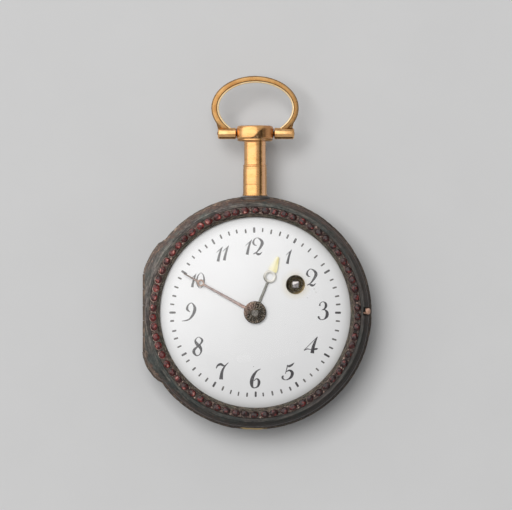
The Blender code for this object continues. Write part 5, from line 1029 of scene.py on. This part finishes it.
WIDTHS = {"0": 50, "1": 44, "2": 57, "3": 55, "4": 82, "5": 72, "6": 53, "7": 72, "8": 50, "9": 72}
# Each numeral's middle and height on the dial, in millimetres
NUMERALS = (
    ("1", -1.39, 13.98, 3.2), ("2", 0.53, 14.21, 3.69), ("1", 7.16, 11.95, 3.05), ("2", 11.97, 7.57, 3.7),
    ("3", 14.47, 0.49, 3.82), ("4", 11.88, -6.84, 3.67), ("5", 7.01, -12.42, 3.67), ("6", 0.11, -13.95, 4.05),
    ("7", -6.97, -12.37, 3.66), ("8", -12.22, -7.09, 4.09), ("9", -14.13, 0.26, 3.93), ("1", -13.12, 6.9, 2.93),
    ("0", -11.62, 6.97, 3.28), ("1", -7.59, 12.5, 3.16), ("1", -6.26, 12.74, 3.16),
)
# The minute ring's radius, and how far each hand-painted mark stands off its place: along the ring and outwards,
# in hundredths of a millimetre
MINUTE_R = 17.6
MARKS = (
    (7, 5), (-3, 18), (-13, 23), (-10, 17), (-19, 16), (-4, 6), (-15, 11), (26, 4), (32, 7), (33, 3),
    (31, -4), (27, 8), (14, 7), (22, -1), (22, 12), (18, 5), (16, -9), (21, 16), (3, 17), (2, 16),
    (9, -3), (8, -4), (-12, 6), (-6, 7), (-9, -3), (6, -24), (-25, 4), (-6, 0), (2, -6), (0, 10),
    (-10, -6), (-17, 10), (15, -1), (-4, 5), (-2, -1), (6, -16), (-15, -6), (15, -2), (9, -1), (3, -7),
    (10, -14), (28, -18), (29, -4), (14, -7), (14, -15), (15, -33), (-8, -19), (7, -15), (19, -3), (31, 14),
    (13, 2), (6, 20), (6, 16), (-5, 29), (5, 18), (-16, 12), (-18, 20), (-14, 17), (-3, 22), (14, 10),
)
SPECKS = (
    (11.1, 3.27, 0.16), (8.98, -6.15, 0.12), (-0.3, -11.4, 0.15), (6.4, -2.4, 0.08), (9.6, -3.4, 0.07),
    (-3.1, 4.4, 0.06),
)


def build_ink():
    parts, tints = [], []

    def draw(line, tint):
        parts.append(pen(line))
        tints.extend([tint] * len(parts[-1][0]))

    for character, x, y, height in NUMERALS:
        unit = height * MM / 100
        for stroke in DIGITS[character]:
            points = [[int(number) for number in point.split()] for point in stroke.split(",")]
            draw([
                (x * MM + (px - WIDTHS[character] / 2) * unit, y * MM + (py - 50) * unit,
                 max(pw * 1.28 * unit, 0.06 * MM))
                for px, py, pw in smooth_path(points, 6)
            ], 0)
    for k, (along, outward) in enumerate(MARKS):
        a = TURN * k / 60 + along * 0.01 / MINUTE_R
        major = k % 5 == 0
        half = (0.63 if major else 0.46) + uniform(-0.06, 0.05)
        width = (0.46 if major else 0.35) + uniform(-0.04, 0.03)
        middle = MINUTE_R + outward * 0.01
        line = []
        for t, share in ((-1, 0.55), (-0.8, 0.95), (0, 1), (0.8, 0.95), (1, 0.55)):
            r = (middle + half * t) * MM
            line.append((r * cos(a), r * sin(a), width * share * MM))
        draw(line, 0.1 if major else uniform(0.35, 0.9))
    for x, y, size in SPECKS:
        line = ((x - size / 2, 0.4), (x, 1), (x + size / 2, 0.5))
        draw([(px * MM, y * MM, size * share * MM) for px, share in line], 0.4)
    add_piece("numerals", merged(*parts), "ink", "case", "dial", tint=tints)


# ---- hands

MINUTE_LOW, MINUTE_HIGH, MINUTE_ANGLE = 16.13, 16.33, 299.1
HOUR_LOW, HOUR_HIGH, HOUR_ANGLE = 15.63, 15.83, 22


def turned_point(x, y, angle):
    a = -radians(angle)
    return (x * cos(a) - y * sin(a), x * sin(a) + y * cos(a))


def blade(stations, angle, section):
    """A hand's blade: stations are distances from the axis and half widths, section gives each one's (x, z)."""
    verts = []
    for s, w in stations:
        verts += [(*turned_point(x * MM, s * MM, angle), z * MM) for x, z in section(w)]
    return loft(verts, len(verts) // len(stations))


def flat_blade(stations, low, high, angle):
    """A flat blade with small bevels along its edges."""

    def section(w):
        b = min(0.07, w * 0.5)
        return (-w, low), (-w, high - b), (b - w, high), (w - b, high), (w, high - b), (w, low)

    return blade(stations, angle, section)


def hand_ring(s, outer, inner, low, high, angle, steps=40):
    edge = (outer - inner) * 0.28
    side = high - (high - low) * 0.4
    profile = [(outer, low), (outer, side), (outer - edge, high), (inner + edge, high), (inner, side), (inner, low)]
    return turn(profile, steps, about_z(*turned_point(0, s * MM, angle)))


def build_minute_hand():
    levels = MINUTE_LOW, MINUTE_HIGH, MINUTE_ANGLE
    stem = flat_blade([(2, 0.33), (7, 0.28), (12.55, 0.21)], *levels)
    ring = hand_ring(13.2, 0.76, 0.42, *levels)
    tip = flat_blade([(13.88, 0.2), (14.15, 0.27), (14.6, 0.22), (15.4, 0.14), (17.3, 0.12), (17.42, 0.08)], *levels)
    add_piece("minute_blade", merged(stem, ring, tip), "minute", "minute", "minute_hand", True, 25)


def build_boss():
    """Domed boss with a rosette of cut rays inside a ring of beads, and the square above it."""
    arc = [k / 14 * TURN / 4 for k in range(5, 15)]
    profile = [(0.7, 16.2), (0.7, 16.8), (0.92, 16.84)]
    profile += [(2.4 * sin(a), 16.36 + 0.42 * cos(a)) for a in arc] + [(2.4, 16.14), (2.32, 16.13)]

    def petal(r, z, a):
        share = min(max((r / MM - 0.95) / 1, 0), 1)
        rays = abs(sin(a * 9)) ** 0.6
        dip = 0 if r / MM < 0.95 or z / MM < 16.3 else 0.12 * (1 - rays) * sin(share * pi) ** 0.5
        return (r * cos(a), r * sin(a) + OFF_Y, z - dip * MM)

    parts = [turn(profile, 216, petal)]
    worn = [0] * len(parts[0][0])
    for k in range(27):
        a = TURN * (k + 0.5) / 27
        r = (2.13 + uniform(-0.03, 0.03)) * MM
        size = uniform(0.17, 0.21)
        bead = [(share * size, 16.53 + up * size) for share, up in ((0, 0.8), (0.5, 0.68), (0.86, 0.4))]
        bead += [(size, 16.5), (size, 16.3), (0, 16.3)]
        parts.append(turn(bead, 12, about_z(r * cos(a), r * sin(a) + OFF_Y)))
        # how light each bead's top is: partly rubbed bronze, partly painted highlight
        level = uniform(0.35, 1)
        worn += [level if v[2] > 16.55 * MM else 0 for v in parts[-1][0]]
    add_piece("boss", merged(*parts), "boss", "minute", "minute_hand", sharp=50, worn=worn)
    square = [turned_point(x, y, 20) for x, y in ((-0.62, -0.62), (0.62, -0.62), (0.62, 0.62), (-0.62, 0.62))]
    square = softened(square, 0.08, 2)
    parts = [prism(square, 16.4, 17.1), prism([(x * 0.86, y * 0.86) for x, y in square], 17.1, 17.18)]
    add_piece("hand_square", merged(*parts), "square", "minute", "cannon_pinion", True, 30)


def build_hour_hand():
    low, high, angle = HOUR_LOW, HOUR_HIGH, HOUR_ANGLE
    stem = flat_blade([(1.2, 0.3), (4, 0.28), (7.2, 0.25)], low, high, angle)
    hub = turn([(1.02, low), (1.75, low), (1.75, high - 0.05), (1.65, high), (1.02, high)], 48, about_z())
    add_piece("hour_stem", merged(stem, hub), "hand_steel", "hour", "hour_hand", True, 25)
    far, outer = 8.4, 1.38
    middle = turned_point(0, far * MM, angle)
    shape = hand_ring(far, outer, 0.8, low, high + 0.04, angle, 56)
    tints = []
    for x, y, z in shape[0]:
        x, y = x - middle[0], y - middle[1]
        facing = (-0.8 * x - 0.6 * y) / (outer * MM)
        tints.append(max(0, min(0.8, 0.05 + 0.85 * facing)) if hypot(x, y) > 1.15 * MM else 0)
    add_piece("hour_ring", shape, "ring", "hour", "hour_hand", sharp=50, tint=tints)
    leaf = [(9.45, 0.55), (9.72, 0.98), (10.3, 0.98), (11.2, 0.76), (12.1, 0.52), (12.7, 0.36), (12.88, 0.28)]
    leaf.append((12.96, 0.16))
    edge, crest = high - 0.08, high + 0.03
    shape = blade(leaf, angle, lambda w: ((-w, low), (-w, edge), (w * 0.15, crest), (w, edge), (w, low)))
    worn = [1, 1, 0.4, 0, 0] * len(leaf)
    add_piece("hour_leaf", shape, "leaf", "hour", "hour_hand", sharp=12, worn=worn)


def build_cannon():
    """The hidden part of the cannon pinion, below the hand's square."""
    leaves = []
    for k in range(40):
        a = TURN * k / 40
        r = (1.02 if k % 4 in (1, 2) else 0.66) * MM
        leaves.append((r * cos(a), r * sin(a)))
    pipe = turn([(0.42, 12.5), (0.6, 12.5), (0.6, 16.3), (0.42, 16.3)], 32, about_z())
    add_piece("cannon_pipe", merged(prism(leaves, 11.98, 12.6), pipe), "steel", "minute", "cannon_pinion")


# ---- pendant, bow and push piece


def build_pendant():
    outline = [
        (0, 40.1), (3.3, 40.1), (3.78, 39.92), (4, 39.45), (4.02, 38.4), (3.98, 37.55), (3.84, 37.28), (3.74, 37.2),
        (3.8, 37.1), (3.76, 36.86), (3.55, 36.72), (2.36, 36.68), (2.33, 36.4), (2.33, 31.9), (2.36, 31.72),
        (2.48, 31.66), (2.55, 31.52), (2.5, 31.38), (2.42, 31.3), (2.5, 31.18), (2.54, 31), (2.5, 30.9), (2.54, 30.8),
        (2.55, 27.5), (2.51, 27.42), (2.55, 27.34), (2.56, 25.5), (2.7, 25.3), (2.7, 25.06), (0, 25.06),
    ]
    shape = lathe(softened(outline, 0.07, 2), round_angles(96), about_y())
    add_piece("pendant_body", shape, "gold", "case", "pendant", True, 50)
    # the pin through the head, with domed ends
    pin = [(0, 8.5), (0.24, 8.47), (0.42, 8.38), (0.5, 8.24), (0.5, -7.84), (0.42, -7.98), (0.24, -8.07), (0, -8.1)]
    add_piece("pin", turn(pin, 24, about_x(BOW_Y)), "recess", "case", "bow_pin", True, 50)


def build_bow():
    # u outwards, v towards the front, how rubbed, how tarnished
    section = [
        (0.7, 0, 0, 0.6), (0.66, 0.36, 0.1, 0.3), (0.46, 0.62, 0.1, 0), (0, 0.7, 0, 0), (-0.22, 0.68, 0, 0.1),
        (-0.34, 0.46, 0, 1), (-0.39, 0.52, 1, 0), (-0.62, 0.46, 1, 0), (-0.7, 0.28, 0.7, 0), (-0.7, 0, 0.2, 0.2),
        (-0.6, -0.34, 0, 0), (-0.24, -0.68, 0, 0), (0.4, -0.66, 0, 0), (0.64, -0.36, 0, 0.2),
    ]
    wide, tall, steps = 8.62, 6.14, 132
    start = -0.15 * TURN
    sweep = TURN / 2 - 2 * start
    verts, worn, tints = [], [], []
    for k in range(steps + 1):
        a = start + sweep * k / steps
        centre = Vector((0.06 + wide * cos(a), 43.86 + tall * sin(a)))
        out = Vector((cos(a) / wide, sin(a) / tall)).normalized()
        end = min(k, steps - k) / steps
        stretch = 1.06 + (0.1 if cos(a) < 0 else -0.08) * (1 - sin(a) ** 2)
        thin = 0.72 + 0.28 * min(1, end / 0.1)
        for u, v, rubbed, tarnished in section:
            worn.append(rubbed)
            tints.append(max(tarnished, 1 - end / 0.055) if u > -0.3 else tarnished)
            point = centre + out * u * thin * stretch
            verts.append((point.x * MM, point.y * MM, HINGE_Z + v * thin * MM))
    parts = [loft(verts, len(section))]
    for s, first, last in ((1, 4.13, 8.4), (-1, 4.07, 7.98)):
        barrel = [
            (0.52, first), (1.04, first), (1.16, first + 0.05), (1.22, first + 0.16), (1.22, last - 0.42),
            (1.18, last - 0.26), (1.04, last - 0.1), (0.9, last - 0.02), (0.52, last),
        ]
        parts.append(turn([(r, s * x) for r, x in barrel], 48, about_x(BOW_Y)))
    shape = merged(*parts)
    kinds = [0 if min(face) < len(worn) else 1 for face in shape[1]]
    rest = [0] * (len(shape[0]) - len(worn))
    add_piece("bow_loop", shape, "bow_gold barrel", "bow", "bow", True, 22, kinds, worn=worn + rest, tint=tints + rest)
    web = [(7.9, 39.2), (8.15, 40.2), (8.45, 41.2), (8, 41.2), (7.3, 40.4), (5.8, 39.4), (5.4, 39)]
    # painted shade: the webs where the bow meets its barrels are dark gilt, standing for the shade there
    webs = [prism(mm([(s * x, y) for x, y in web]), 11.56, 12) for s in (1, -1)]
    add_piece("bow_web", merged(*webs), "recess", "bow", "bow", sharp=30)


def build_push():
    """Stem in the bezel and a cushion-shaped head beside it, a little above 3 o'clock."""

    def cushion(r, x, a):
        c, d = cos(a), sin(a)
        bulge = (abs(c) ** 3 + abs(d) ** 3) ** (-1 / 3)
        return (x, 0.385 * MM + r * c * bulge, 15.3 * MM + r * d * bulge * 0.95)

    head = [(0, 24.66), (0.3, 24.63), (0.54, 24.52), (0.68, 24.32), (0.72, 24.05), (0.72, 23.66), (0.66, 23.58)]
    head.append((0, 23.56))
    shape = merged(rod(0.28, 23.9, 22.68, 24, about_x(0, PUSH_Z)), turn(head, 48, cushion))
    add_piece("push_button", shape, "peach", "push", "push_piece", True, 50)


# ---- the CAD nodes that stay

KEPT = {
    "plate": "dial_plate pillar_plate",
    "winding": "fusee_arbor",
    "hand_silver": "figure_plate",
    "blue": "mainspring balance_spring cock_screw_1 cock_screw_2 regulator",
    "steel": "hinge_pin latch_spring minute_stud barrel_arbor ratchet_wheel ratchet_click fusee_chain centre_arbor "
             "third_arbor contrate_arbor escape_arbor verge balance_wheel end_piece",
    "brass": "top_plate pillar_1 pillar_2 pillar_3 pillar_4 minute_wheel hour_wheel barrel barrel_cover fusee "
             "great_wheel centre_wheel third_wheel contrate_wheel escape_wheel potence counter_potence spring_stud "
             "balance_cock",
}


def dress_nodes():
    for look, names in KEPT.items():
        for name in names.split():
            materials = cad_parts[name].data.materials
            materials.clear()
            materials.append(looks[look])


# ---- stage, light and camera

WATCH_MIDDLE = 0.012


def sheet(name, look, x0, x1, y0, y1, z):
    """A flat sheet of the stage."""
    piece = bare(name, ([(x0, y0, z), (x1, y0, z), (x1, y1, z), (x0, y1, z)], [(0, 1, 2, 3)]))
    piece.data.materials.append(look)
    return piece


def build_stage():
    n = Nodes("paper")
    n.set(Base_Color=n.ramp(n.noise(60, 3), (30, 572), (70, 584)), Roughness=0.9)
    sheet("floor", n.look, -3, 3, -3, 3, 0)

    n = Nodes("studio", bpy.data.worlds, "Background")
    n.set(Color=(1000,), Strength=n.span(n.rays("Transmission", "Glossy", "Camera"), 0.33, 0.578))
    scene.world = n.look

    # a soft lamp for the surfaces, and a broad white panel that only polished metal shows
    lamps = (
        ("key", (-0.22, 0.24, 1.19), 0, 0.56, 0.56, 11.3, (1, 0.998, 0.998), "visible_glossy"),
        ("panel", (-0.56, 0.75, 0.75), 0.75, 1.8, 2.2, 18.7, (1, 0.998, 0.995), "visible_diffuse"),
    )
    for name, place, aim_y, wide, tall, power, colour, hidden in lamps:
        data = bpy.data.lights.new(name, "AREA")
        data.shape = "RECTANGLE"
        data.size, data.size_y = wide, tall
        data.energy = power
        data.color = colour
        lamp = bpy.data.objects.new(name, data)
        lamp.location = place
        lamp.rotation_euler = (Vector((0, aim_y, WATCH_MIDDLE)) - Vector(place)).to_track_quat("-Z", "Y").to_euler()
        lamp.visible_camera = False
        setattr(lamp, hidden, False)
        scene.collection.objects.link(lamp)

    # a dim card above, which only shows as the dark line in polished metal
    n = Nodes("card_dim")
    n.set(Base_Color=(50,), Roughness=1, Emission_Color=(1000,), Emission_Strength=0.1)
    card = sheet("card", n.look, 1.3, 3.6, -1.8, 1.8, 1.3)
    card.visible_camera = card.visible_diffuse = card.visible_shadow = card.visible_transmission = False


def build_camera():
    """Straight above the watch, at the photograph's framing of 512 by 510."""
    pixel = 0.2137 * MM
    width, height, dial = 512, 510, (255, 313)
    distance, sensor, crystal = 1.2, 36, 14 * MM
    data = bpy.data.cameras.new("camera")
    data.sensor_fit = "HORIZONTAL"
    data.sensor_width = sensor
    data.lens = sensor * distance / (width * pixel)
    data.clip_end = 20
    camera = bpy.data.objects.new("camera", data)
    camera.location = ((width / 2 - dial[0]) * pixel, (dial[1] - height / 2) * pixel, crystal + distance)
    scene.collection.objects.link(camera)
    scene.camera = camera


build_camera()
build_stage()
build_bezel()
build_hinge()
build_band()
build_cover()
build_stones()
build_crystal()
build_dial()
build_ink()
build_minute_hand()
build_boss()
build_hour_hand()
build_cannon()
build_pendant()
build_bow()
build_push()
dress_nodes()

scene.view_settings.view_transform = "Standard"
